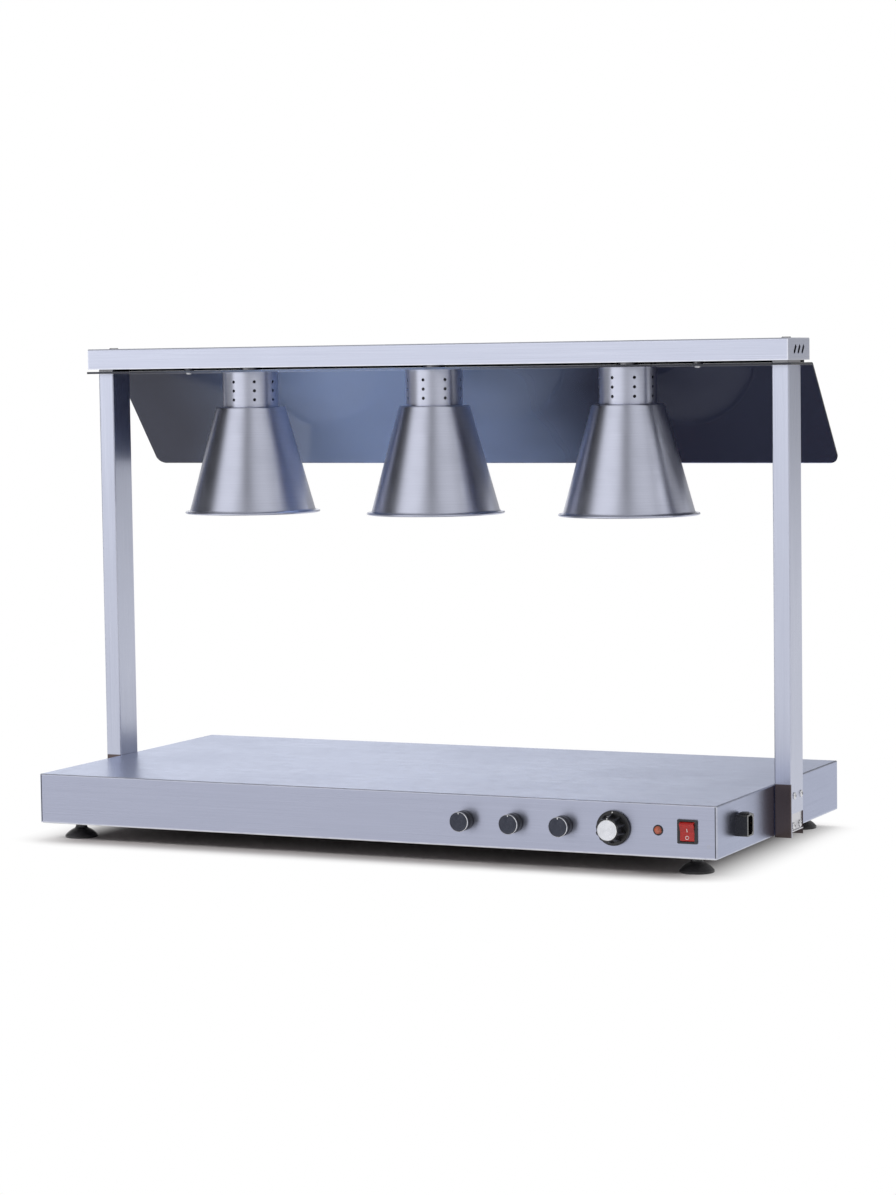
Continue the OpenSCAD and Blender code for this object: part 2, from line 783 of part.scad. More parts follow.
module inlet_body() {
    color(black_plastic) at_base() difference() {
        union() {
            at_inlet() linear_extrude(inlet_reach) rounded_rect(inlet_w, inlet_h, 3);
            translate([base_w / 2 + inlet_reach - inlet_key[0], inlet_y - inlet_key[1] / 2, control_z])
                cube([inlet_key[0], inlet_key[1], inlet_h / 2 + inlet_key[2]]);
            at_inlet(-inlet_depth) linear_extrude(inlet_depth)
                square([inlet_neck_w, inlet_neck_h], center = true);
        }
        at_inlet(-inlet_floor) linear_extrude(inlet_reach + inlet_floor + cut) recess_2d();
        for (place = pin_places()) at_inlet(-inlet_depth - cut) translate(place)
            linear_extrude(inlet_depth + 2 * cut)
                square([pin_w + 2 * shaft_clear, pin_t + 2 * shaft_clear], center = true);
    }
}

function pin_places() = [
    [-earth_shift / 2, pin_pitch / 2],
    [-earth_shift / 2, -pin_pitch / 2],
    [earth_shift / 2, 0]
];

module inlet_pins() {
    color(brass) at_base() for (place = pin_places()) at_inlet(-inlet_depth - tab_l) translate(place)
        linear_extrude(inlet_depth + tab_l - inlet_floor + pin_l) square([pin_w, pin_t], center = true);
}

block_l = 60;
block_w = 22;
block_h = 18;
block_ways = 5;
block_x = base_w / 2 - 70;
block_y = -70;

module terminal_block() {
    color([0.90, 0.89, 0.85]) at_base() translate([block_x - block_l / 2, block_y - block_w / 2, base_z])
        difference() {
            cube([block_l, block_w, block_h]);
            for (i = [0 : block_ways - 1]) translate([(i + 0.5) * block_l / block_ways, 0, 0]) {
                translate([0, block_w / 2, block_h - 4]) cylinder(r = 3, h = 4 + cut);
                translate([0, -cut, block_h / 2]) rotate([-90, 0, 0])
                    cylinder(r = lead_r + fit, h = block_w + 2 * cut);
            }
        }
}

// Feet

dome_r = 28.7;
dome_top = 14;
foot_fillet = 4.5;
pad_edge = 1;
pad_side = 3;
stud_sink = 12;

module foot(x, y) {
    dome_z = dome_top - dome_r;
    fillet_x = foot_neck_r + foot_fillet;
    rim_up = acos((foot_r - pad_edge) / dome_r);
    fillet_up = acos(fillet_x / (dome_r + foot_fillet));
    fillet_z = dome_z + (dome_r + foot_fillet) * sin(fillet_up);
    color(black_plastic) at_base() translate([x, y, 0]) rotate_extrude() polygon(concat(
        [[0, 0], [foot_r - pad_edge / 2, 0], [foot_r, pad_edge / 2], [foot_r, pad_side]],
        arc(0, dome_z, dome_r, rim_up, fillet_up, 8),
        arc(fillet_x, fillet_z, foot_fillet, 180 + fillet_up, 180, 6),
        [[foot_neck_r, foot_h], [stud_r + shaft_clear, foot_h],
         [stud_r + shaft_clear, foot_h - stud_sink], [0, foot_h - stud_sink]]
    ));
}

module foot_stud(x, y) {
    l = stud_sink + stud_l;
    color(plain_steel) at_base() translate([x, y, foot_h - stud_sink]) {
        cylinder(r = stud_r, h = l - 1);
        translate([0, 0, l - 1]) cylinder(r1 = stud_r, r2 = stud_r - 0.8, h = 1);
    }
}

// Posts

module post(side) {
    wire_hole = side > 0;
    color(steel) at_base() scale_side(side) difference() {
        translate([post_x, 0, post_z]) linear_extrude(post_h) rounded_rect(post_w, post_d, post_r);
        translate([post_x, 0, post_z - cut]) linear_extrude(post_h - top_plate_t + cut)
            square([post_w - 2 * post_wall, post_d - 2 * post_wall], center = true);
        translate([outer_x - post_wall - cut / 4, -post_d / 2 + post_wall, post_z - cut])
            cube([post_wall + cut, post_d - 2 * post_wall, window_h + cut]);
        for (y = [-1, 1]) {
            translate([base_w / 2 - cut, y * screw_y, base_z + screw_low]) rotate([0, 90, 0])
                cylinder(r = screw_r + hole_over, h = post_wall + 2 * cut);
            translate([base_w / 2 - cut, y * screw_y, base_z + screw_high]) rotate([0, 90, 0])
                cylinder(r = screw_r + hole_over, h = post_w + 2 * cut);
        }
        translate([post_x, 0, guard_z - top_plate_t - cut])
            cylinder(r = bolt_r + hole_over, h = top_plate_t + 2 * cut);
        if (wire_hole) {
            translate([base_w / 2 - cut, 0, control_z]) rotate([0, 90, 0])
                cylinder(r = cable_r + 2 * hole_over, h = post_wall + 2 * cut);
            translate([post_x, cable_y, guard_z - top_plate_t - cut])
                cylinder(r = cable_r + 2 * hole_over, h = top_plate_t + 2 * cut);
        }
    }
}

module post_anchors() {
    inner_x = base_w / 2 + post_wall;
    web_x = outer_x - post_wall - anchor_t;
    side_y = post_d / 2 - post_wall - fit;
    color(plain_steel) at_base() both_sides() difference() {
        union() {
            translate([web_x, -side_y, anchor_z]) cube([anchor_t, 2 * side_y, anchor_h]);
            for (y = [-side_y, side_y - anchor_t])
                translate([inner_x, y, anchor_z]) cube([web_x - inner_x, anchor_t, anchor_h]);
            translate([web_x, -side_y, anchor_z]) cube([anchor_t + post_wall, 2 * side_y, anchor_t]);
        }
        for (y = [-1, 1], z = [screw_low, screw_high])
            translate([web_x - cut, y * screw_y, base_z + z]) rotate([0, 90, 0])
                cylinder(r = screw_r + hole_over, h = anchor_t + 2 * cut);
    }
}

module post_screws() {
    color(plain_steel) at_base() both_sides() for (y = [-1, 1], z = [screw_low, screw_high]) {
        seat_x = z == screw_low ? outer_x - post_wall : outer_x;
        inner_x = base_w / 2 - sheet_t;
        translate([seat_x, y * screw_y, base_z + z]) rotate([0, 90, 0])
            button_screw(seat_x - inner_x + nut_h + 1);
        translate([inner_x - nut_h, y * screw_y, base_z + z]) rotate([0, 90, 0])
            hex_nut(screw_r + shaft_clear, nut_across, nut_h);
    }
}

// Beam

module beam_shell() {
    l = beam_l - 2 * beam_t;
    color(steel) at_base() difference() {
        translate([-l / 2, 0, beam_z]) rotate([90, 0, 90])
            linear_extrude(l) arch_rect(beam_d, beam_h, beam_r);
        translate([-l / 2 - cut, 0, beam_z - cut]) rotate([90, 0, 90]) linear_extrude(l + 2 * cut)
            arch_rect(beam_d - 2 * beam_t, beam_h - beam_t + cut, beam_r - beam_t);
        for (x = [-post_x, post_x]) translate([x, 0, beam_top - beam_t - cut])
            cylinder(r = bolt_r + hole_over, h = beam_t + 2 * cut);
    }
}

cover_lip = 10;

module beam_cover() {
    l = beam_l - 2 * beam_t;
    w = beam_d - 2 * beam_t - 2 * fit;
    color(steel) at_base() difference() {
        translate([-l / 2, -w / 2, beam_z]) cube([l, w, cover_lip]);
        translate([-l / 2 - cut, -w / 2 + beam_t, beam_z + beam_t])
            cube([l + 2 * cut, w - 2 * beam_t, cover_lip]);
        translate([0, 0, beam_z - cut]) linear_extrude(beam_t + 2 * cut) beam_holes_2d();
        for (end = [-1, 1]) translate([end * l / 2, 0, beam_z + beam_t])
            linear_extrude(beam_h) square([2 * cap_tongue, beam_d], center = true);
    }
}

// Every hole that the guard's flange and the beam's cover share
module beam_holes_2d() {
    for (x = [-post_x, post_x]) translate([x, 0]) circle(bolt_r + hole_over);
    for (x = [-guard_screw_x, guard_screw_x]) translate([x, 0]) circle(screw_r + hole_over);
    for (i = [-1 : 1]) translate([i * lamp_pitch, 0]) circle(nipple_r + hole_over);
    translate([post_x, cable_y]) circle(cable_r + 2 * hole_over);
}

cap_tongue = 12;
slot_w = 4;
slot_l = 14;
slot_pitch = 16;
slot_lean = 38;

module end_cap(side) {
    inner = beam_l / 2 - beam_t;
    w = beam_d - 2 * beam_t - 2 * fit;
    color(steel) at_base() scale_side(side) difference() {
        union() {
            translate([inner, 0, beam_z]) rotate([90, 0, 90])
                linear_extrude(beam_t) arch_rect(beam_d, beam_h, beam_r);
            translate([inner - cap_tongue + fit, 0, beam_z + beam_t]) rotate([90, 0, 90])
                linear_extrude(cap_tongue - fit) difference() {
                    arch_rect(w, beam_h - 2 * beam_t - fit, beam_r - beam_t);
                    translate([0, -cut]) arch_rect(w - 2 * beam_t, beam_h - 3 * beam_t - fit + cut, fit);
                }
        }
        for (i = [0 : end_slots - 1])
            translate([inner - cut, (i - (end_slots - 1) / 2) * slot_pitch, beam_z + beam_h / 2])
            rotate([90, 0, 90]) linear_extrude(beam_t + 2 * cut)
                rotate([0, 0, 90 - slot_lean]) slot_2d(slot_l, slot_w / 2);
    }
}

module beam_bolts() {
    nut_z = guard_z - top_plate_t - bolt_nut_h;
    color(plain_steel) at_base() for (x = [-post_x, post_x]) translate([x, 0, 0]) {
        translate([0, 0, nut_z - 2]) cylinder(r = bolt_r, h = beam_top - nut_z + 2);
        translate([0, 0, beam_top]) difference() {
            cylinder(r1 = bolt_head_r, r2 = bolt_head_r - 1.2, h = bolt_head_h);
            translate([0, 0, bolt_head_h / 3]) cylinder(r = bolt_socket_r, h = bolt_head_h, $fn = 6);
        }
        translate([0, 0, nut_z]) hex_nut(bolt_r + shaft_clear, bolt_nut_across, bolt_nut_h);
    }
}

washer_r = 7;
ring_r = 15;

module spacer_pads() {
    z = guard_z + guard_t;
    color([0.35, 0.35, 0.38]) at_base() translate([0, 0, z]) linear_extrude(pad_t) difference() {
        union() {
            for (x = [-post_x, post_x]) translate([x, 0]) rounded_rect(post_w, post_d, post_r);
            for (x = [-guard_screw_x, guard_screw_x]) translate([x, 0]) circle(washer_r);
            for (i = [-1 : 1]) translate([i * lamp_pitch, 0]) circle(ring_r);
        }
        beam_holes_2d();
    }
}

// Guard

// Section of the bent sheet: flat flange, bend, then the sloping part
module guard_section(bend_y, bend_z) {
    outer_r = guard_bend_r + guard_t;
    along = guard_slope * [cos(guard_angle), -sin(guard_angle)];
    across = [sin(guard_angle), cos(guard_angle)];
    polygon(concat(
        [[guard_setback - beam_d / 2, guard_z], [guard_setback - beam_d / 2, guard_z + guard_t]],
        arc(bend_y, bend_z, outer_r, 90, 90 - guard_angle, 10),
        [[bend_y, bend_z] + outer_r * across + along, [bend_y, bend_z] + guard_bend_r * across + along],
        arc(bend_y, bend_z, guard_bend_r, 90 - guard_angle, 90, 10)
    ));
}

module guard_panel() {
    bend_y = beam_d / 2 + guard_bend_back;
    bend_z = guard_z - guard_bend_r;
    color(smoke) at_base() difference() {
        translate([-guard_l / 2, 0, 0]) rotate([90, 0, 90]) linear_extrude(guard_l)
            guard_section(bend_y, bend_z);
        translate([0, 0, guard_z - cut]) linear_extrude(guard_t + 2 * cut) beam_holes_2d();
        both_sides() translate([guard_l / 2, bend_y, bend_z]) rotate([-guard_angle, 0, 0])
            translate([0, guard_slope, guard_bend_r - cut])
                linear_extrude(guard_t + 2 * cut) corner_cut_2d(guard_corner_r);
    }
}

// What a rounded corner takes off a square one; the corner is at the origin
module corner_cut_2d(r) {
    difference() {
        translate([-r, -r]) square(r + cut);
        translate([-r, -r]) circle(r);
    }
}

module guard_screws() {
    nut_z = beam_z + beam_t;
    color(plain_steel) at_base() for (x = [-guard_screw_x, guard_screw_x]) translate([x, 0, 0]) {
        translate([0, 0, guard_z]) rotate([180, 0, 0]) button_screw(nut_z + nut_h + 1 - guard_z);
        translate([0, 0, nut_z]) hex_nut(screw_r + shaft_clear, nut_across, nut_h);
    }
}

// Lamps

// Turn of each neck, so that its columns of holes lie as they do on the real one
neck_turn = [36, 2.6, 34.5];
neck_lip = 5;
vent_top = 14;                    // first row below the neck's top

module lamp_neck(i) {
    color(steel) at_base() translate([(i - 1) * lamp_pitch, 0, neck_z]) difference() {
        cylinder(r = neck_r, h = neck_h);
        translate([0, 0, neck_wall]) cylinder(r = neck_r - neck_wall, h = neck_h - 2 * neck_wall);
        translate([0, 0, -cut]) cylinder(r = neck_r - neck_lip, h = 2 * cut + neck_wall);
        translate([0, 0, neck_h - neck_wall - cut])
            cylinder(r = nipple_r + hole_over, h = neck_wall + 2 * cut);
        for (c = [0 : vent_columns - 1], row = [0 : vent_rows - 1])
            rotate([0, 0, neck_turn[i] + c * 360 / vent_columns])
                translate([neck_r / 2, 0, neck_h - vent_top - row * vent_pitch])
                    rotate([0, 90, 0]) cylinder(r = vent_r, h = neck_r, $fn = 24);
    }
}

flare_r = 4;
flare_z = 2 * bead_r - 0.4 + flare_r;

// Section of the spun shade: top ring, shoulder, cone, flare and rolled bead.
// lean is the cone's angle, from the line that touches both the shoulder and the flare.
module shade_section() {
    top_x = shoulder_r - shoulder_round;
    top_y = shade_h - shoulder_round;
    flare_x = cone_r + flare_r;
    across = flare_x - top_x;
    down = top_y - flare_z;
    lean = acos((shoulder_round + flare_r) / norm([across, down])) - atan2(down, across);
    inner_round = shoulder_round - shade_wall;
    polygon(concat(
        [[neck_r - neck_lip, shade_h]],
        arc(top_x, top_y, shoulder_round, 90, lean, 5),
        arc(flare_x, flare_z, flare_r, 180 + lean, 262, 5),
        arc(rim_r - bead_r, bead_r, bead_r, 120, -150, 12),
        arc(flare_x, flare_z, flare_r + shade_wall, 250, 180 + lean, 5),
        arc(top_x, top_y, inner_round, lean, 90, 5),
        [[neck_r - neck_lip, shade_h - shade_wall]]
    ));
}

module lamp_shade(i) {
    color(steel) at_base() translate([(i - 1) * lamp_pitch, 0, rim_z]) rotate_extrude() shade_section();
}

glass_t = 1.2;
cap_r = 13.2;
cap_l = 27;
cap_tip_r = 4.5;
holder_gap = 0.4;
face_r = 120;                     // radius of the bulb's domed face
face_share = 0.94;                // part of the bulb's radius that the face takes
bulge_r = 8;                      // rounding between the face and the side

// Outline of a reflector bulb from its face up to its metal cap, grown outward by g
module bulb_outline(g) {
    dome = face_r - sqrt(face_r * face_r - bulb_r * bulb_r);
    side_z = dome + 12;
    glass_z = bulb_l - cap_l;
    polygon(concat(
        [for (i = [0 : 8]) let (a = asin(bulb_r * face_share / face_r) * i / 8)
            [(face_r + g) * sin(a), face_r - (face_r + g) * cos(a)]],
        arc(bulb_r - bulge_r, side_z, bulge_r + g, -45, 38, 6),
        arc(bulb_r * 0.9, glass_z - 8, bulb_r * 0.9 - 17 - g, 242, 181, 8),
        [[cap_r + g, glass_z + 1], [0, glass_z + 1]]
    ));
}

// A reflector bulb that stands on z = 0 with its face down
module heat_lamp(i) {
    tip_z = guard_z - neck_wall - holder_h + holder_bore - seat;
    color([0.85, 0.25, 0.20]) at_base() translate([(i - 1) * lamp_pitch, 0, tip_z - bulb_l]) {
        rotate_extrude() difference() {
            bulb_outline(0);
            bulb_outline(-glass_t);
        }
        translate([0, 0, bulb_l - cap_l]) {
            cylinder(r = cap_r, h = cap_l - 4);
            translate([0, 0, cap_l - 4]) cylinder(r1 = cap_r, r2 = cap_tip_r * 2, h = 2);
            cylinder(r = cap_tip_r, h = cap_l);
        }
    }
}

holder_r = 23;
holder_h = 42;
holder_neck_z = 34;               // where the holder narrows to its boss
holder_mouth = 3;                 // width and height of the bore's chamfer
holder_boss_r = 11;
holder_bore = 28;

module lampholders() {
    z = guard_z - neck_wall - holder_h;
    bore_r = nipple_r + shaft_clear;
    color(white_ceramic) at_base() for (i = [-1 : 1]) translate([i * lamp_pitch, 0, z])
        rotate_extrude() polygon([
            [cap_r + holder_mouth, 0], [holder_r - 3, 0], [holder_r - 1, 2], [holder_r, holder_neck_z - 6],
            [holder_r - 4, holder_neck_z], [holder_boss_r, holder_neck_z + 1], [holder_boss_r, holder_h],
            [bore_r, holder_h], [bore_r, holder_bore], [cap_r + holder_gap, holder_bore],
            [cap_r + holder_gap, holder_mouth]
        ]);
}

nipple_low = 8;                   // how far a nipple reaches into its lampholder

module lamp_nipples() {
    low = guard_z - neck_wall - nipple_low;
    high = beam_z + beam_t + nipple_nut_h + 3;
    color(brass) at_base() for (i = [-1 : 1]) translate([i * lamp_pitch, 0, 0]) {
        translate([0, 0, low]) difference() {
            cylinder(r = nipple_r, h = high - low);
            translate([0, 0, -cut]) cylinder(r = nipple_bore_r, h = high - low + 2 * cut);
        }
        translate([0, 0, beam_z + beam_t]) hex_nut(nipple_r + shaft_clear, nipple_nut_across, nipple_nut_h);
    }
}

// Wiring

module wiring() {
    run_z = beam_top - 12;
    inlet_end = base_w / 2 - inlet_depth - tab_l;
    rocker_end = front + sheet_t + rocker_body_l + tab_l;
    block_low = base_z + block_h / 2;
    end_y = (runs - 1) / 2 * run_pitch;
    element_end = tray_w / 2 + element_out;
    lead_y = block_y + block_w / 2 + seat;
    color([0.10, 0.10, 0.11]) at_base() {
        cable([
            [inlet_end - seat, inlet_y - earth_shift / 2, control_z + pin_pitch / 2],
            [inlet_end - 8, inlet_y - earth_shift / 2, control_z + pin_pitch / 2],
            [rocker_x - 5.5, rocker_end + 8, control_z + 7],
            [rocker_x - 5.5, rocker_end + seat, control_z + 7]
        ], lead_r);
        cable([
            [rocker_x - 5.5, rocker_end + seat, control_z - 7],
            [rocker_x - 5.5, rocker_end + 8, control_z - 7],
            [block_x, block_y - block_w / 2 - 10, block_low],
            [block_x, block_y - block_w / 2 + 4, block_low]
        ], lead_r);
        for (side = [-1, 1]) cable([
            [element_end + seat, side * end_y, element_z],
            [element_end + 8, side * end_y, element_z],
            [block_x + side * block_l / block_ways, lead_y + 14, base_z + 2 * block_h],
            [block_x + side * block_l / block_ways, lead_y + 10, block_low],
            [block_x + side * block_l / block_ways, lead_y - 4, block_low]
        ], lead_r);
        cable([
            [block_x + 2 * block_l / block_ways, lead_y - 4, block_low],
            [block_x + 2 * block_l / block_ways, lead_y + 8, block_low]
        ], lead_r);
        cable([
            [block_x + 2 * block_l / block_ways, lead_y + 6, block_low],
            [block_x + 2 * block_l / block_ways, lead_y + 12, block_low],
            [base_w / 2 - 20, 0, control_z],
            [base_w / 2 + post_w / 2, 0, control_z],
            [post_x, 0, guard_z - 60],
            [post_x, cable_y, guard_z - 30],
            [post_x, cable_y, run_z],
            [-lamp_pitch - 6, cable_y, run_z]
        ], cable_r);
        for (i = [-1 : 1]) cable([
            [i * lamp_pitch, cable_y, run_z],
            [i * lamp_pitch, 0, run_z],
            [i * lamp_pitch, 0, guard_z]
        ], lead_r);
    }
}

base_shell();
bottom_pan();
foot_nuts();
heating_element();
element_clamps();
heat_tray();
insulation();
thermostat();
thermostat_shaft();
thermostat_dial();
dial_cap();
dimmer_modules();
dimmer_shaft(0);  // dimmer_shaft_left
dimmer_shaft(1);  // dimmer_shaft_middle
dimmer_shaft(2);  // dimmer_shaft_right
lamp_knob(0);  // lamp_knob_left
lamp_knob(1);  // lamp_knob_middle
lamp_knob(2);  // lamp_knob_right
knob_cap(0);  // knob_cap_left
knob_cap(1);  // knob_cap_middle
knob_cap(2);  // knob_cap_right
rocker_housing();
rocker_paddle();
indicator_housing();
indicator_lens();
inlet_body();
inlet_pins();
terminal_block();
foot(-foot_x, -foot_y);  // foot_front_left
foot(foot_x, -foot_y);  // foot_front_right
foot(-foot_x, foot_y);  // foot_back_left
foot(foot_x, foot_y);  // foot_back_right
foot_stud(-foot_x, -foot_y);  // stud_front_left
foot_stud(foot_x, -foot_y);  // stud_front_right
foot_stud(-foot_x, foot_y);  // stud_back_left
foot_stud(foot_x, foot_y);  // stud_back_right
post(-1);  // post_left
post(1);  // post_right
post_anchors();
post_screws();
beam_shell();
beam_cover();
end_cap(-1);  // end_cap_left
end_cap(1);  // end_cap_right
beam_bolts();
spacer_pads();
guard_panel();
guard_screws();
lamp_neck(0);  // lamp_neck_left
lamp_neck(1);  // lamp_neck_middle
lamp_neck(2);  // lamp_neck_right
lamp_shade(0);  // lamp_shade_left
lamp_shade(1);  // lamp_shade_middle
lamp_shade(2);  // lamp_shade_right
heat_lamp(0);  // heat_lamp_left
heat_lamp(1);  // heat_lamp_middle
heat_lamp(2);  // heat_lamp_right
lampholders();
lamp_nipples();
wiring();
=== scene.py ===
"""Looks of the heated buffet station: finishes, small fittings, studio and camera.

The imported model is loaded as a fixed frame, in metres: X to the operator's right, Y away from
the operator, Z up. Every new piece rides on one of the frame's bodies.
"""

from __future__ import annotations

import json
import logging
import math
from collections.abc import Callable, Sequence
from dataclasses import dataclass
from enum import Enum

import bmesh
import bpy
from mathutils import Matrix, Vector

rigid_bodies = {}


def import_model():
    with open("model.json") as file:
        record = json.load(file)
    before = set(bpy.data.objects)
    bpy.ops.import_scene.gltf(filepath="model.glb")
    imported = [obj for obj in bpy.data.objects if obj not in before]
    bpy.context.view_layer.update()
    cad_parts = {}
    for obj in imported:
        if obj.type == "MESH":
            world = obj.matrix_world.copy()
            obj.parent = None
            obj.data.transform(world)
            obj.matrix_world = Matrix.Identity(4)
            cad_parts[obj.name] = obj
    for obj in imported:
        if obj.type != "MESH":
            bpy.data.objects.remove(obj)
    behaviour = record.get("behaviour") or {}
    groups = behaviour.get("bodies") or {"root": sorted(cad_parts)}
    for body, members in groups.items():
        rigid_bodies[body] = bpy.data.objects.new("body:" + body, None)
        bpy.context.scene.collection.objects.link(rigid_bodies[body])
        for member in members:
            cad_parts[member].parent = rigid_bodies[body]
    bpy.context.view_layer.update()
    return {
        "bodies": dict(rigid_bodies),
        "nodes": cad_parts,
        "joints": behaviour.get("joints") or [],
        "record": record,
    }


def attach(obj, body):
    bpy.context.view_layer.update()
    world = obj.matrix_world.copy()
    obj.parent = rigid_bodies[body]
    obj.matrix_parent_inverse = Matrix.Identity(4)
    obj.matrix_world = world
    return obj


log = logging.getLogger("buffet_station")

MM = 0.001
ROOT = "station"
SIDES = ("left", "middle", "right")
ENDS = (("left", -1.0), ("right", 1.0))
ORIGIN = (0.0, 0.0, 0.0)
WHITE = (1.0, 1.0, 1.0)
BRASS = (0.72, 0.52, 0.24)
DULL_BRASS = (0.5, 0.34, 0.14)
# Tones of a pattern that give its two colours
TONES = (0.3, 0.7)
# Quarter turn that stretches the gloss across the drawn lines
ACROSS_LINES = 0.25
# Part of the normal past which a face counts as turned that way
STEEP = 0.7

Node = bpy.types.Node
Socket = bpy.types.NodeSocket
Shape = bmesh.types.BMesh
Colour = tuple[float, float, float]
Point = tuple[float, float, float]


# Node trees


class Graph:
    """Builds one node tree with short calls."""

    def __init__(self, tree: bpy.types.NodeTree) -> None:
        """Takes the tree that the nodes go into."""
        self.tree = tree

    def add(self, kind: str, feeds: dict | None = None, **settings: object) -> Node:
        """Adds a node.

        Args:
            kind: The node's type.
            feeds: Values or sockets for its inputs, by name or place.
            settings: Properties of the node.

        Returns:
            The new node.
        """
        node = self.tree.nodes.new(kind)
        for name, value in settings.items():
            setattr(node, name, value)
        for key, value in (feeds or {}).items():
            if isinstance(value, Socket):
                self.tree.links.new(value, node.inputs[key])
            else:
                node.inputs[key].default_value = value
        return node

    def calc(self, operation: str, *values: float | Socket, clamp: bool = False) -> Socket:
        """Adds a Math node and returns its result."""
        feeds = dict(enumerate(values))
        return self.add("ShaderNodeMath", feeds, operation=operation, use_clamp=clamp).outputs[0]

    def vector(self, operation: str, *values: Point | Socket) -> Socket:
        """Adds a Vector Math node and returns its vector."""
        return self.add("ShaderNodeVectorMath", dict(enumerate(values)), operation=operation).outputs[0]

    def length(self, value: Socket) -> Socket:
        """Returns the length of a vector."""
        return self.add("ShaderNodeVectorMath", {0: value}, operation="LENGTH").outputs["Value"]

    def dot(self, first: Socket, second: Point) -> Socket:
        """Returns the dot product of two vectors."""
        node = self.add("ShaderNodeVectorMath", {0: first, 1: second}, operation="DOT_PRODUCT")
        return node.outputs["Value"]

    def join(self, x: float | Socket, y: float | Socket, z: float | Socket) -> Socket:
        """Returns a vector made of three values."""
        return self.add("ShaderNodeCombineXYZ", {0: x, 1: y, 2: z}).outputs[0]

    def parts(self, value: Socket) -> tuple[Socket, Socket, Socket]:
        """Returns the three values of a vector."""
        outputs = self.add("ShaderNodeSeparateXYZ", {0: value}).outputs
        return outputs[0], outputs[1], outputs[2]

    def normal(self) -> tuple[Socket, Socket, Socket]:
        """Returns the three values of the surface's normal."""
        return self.parts(self.add("ShaderNodeNewGeometry").outputs["Normal"])

    def blend(self, share: float | Socket, first: object, second: object) -> Socket:
        """Mixes two colours.

        Args:
            share: How much of the second one shows.
            first: Colour or socket at a share of 0.
            second: Colour or socket at a share of 1.

        Returns:
            The mixed colour.
        """
        feeds = {0: share}
        for place, value in ((6, first), (7, second)):
            feeds[place] = value if isinstance(value, Socket) else (*value, 1.0)
        return self.add("ShaderNodeMix", feeds, data_type="RGBA").outputs[2]

    def pick(self, share: Socket, first: float | Socket, second: float | Socket) -> Socket:
        """Returns the first value where the share is 0 and the second where it is 1."""
        return self.add("ShaderNodeMix", {0: share, 2: first, 3: second}, data_type="FLOAT").outputs[0]

    def remap(
        self, value: Socket, low: float, high: float, new_low: float = 0.0, new_high: float = 1.0
    ) -> Socket:
        """Maps a range of values onto another one, with a soft start and end.

        Args:
            value: What is mapped.
            low: Value that gives new_low.
            high: Value that gives new_high.
            new_low: Result at the low end.
            new_high: Result at the high end.

        Returns:
            The mapped value.
        """
        feeds = {0: value, 1: low, 2: high, 3: new_low, 4: new_high}
        return self.add("ShaderNodeMapRange", feeds, interpolation_type="SMOOTHSTEP").outputs[0]

    def noise(self, place: Socket, scale: float | Socket, detail: float = 2.0) -> Socket:
        """Returns the value of a noise texture."""
        feeds = {"Vector": place, "Scale": scale, "Detail": detail, "Roughness": 0.55}
        return self.add("ShaderNodeTexNoise", feeds).outputs[0]

    def effect(self, effect: Effect, feeds: dict) -> Node:
        """Places a shared effect group.

        Args:
            effect: Which effect.
            feeds: Values or sockets for its inputs.

        Returns:
            The group node.
        """
        return self.add("ShaderNodeGroup", feeds, node_tree=effect_tree(effect))


class Effect(Enum):
    """Effects that several finishes share."""

    GRAIN = "drawn_grain"
    RINGS = "turned_rings"
    SKIN = "moulded_skin"
    HANDLING = "handling_marks"
    DUST = "settled_dust"
    # Rubbed edges, lightened both as wear and as a painted highlight along the folds
    EDGES = "rubbed_edges_and_painted_highlight"


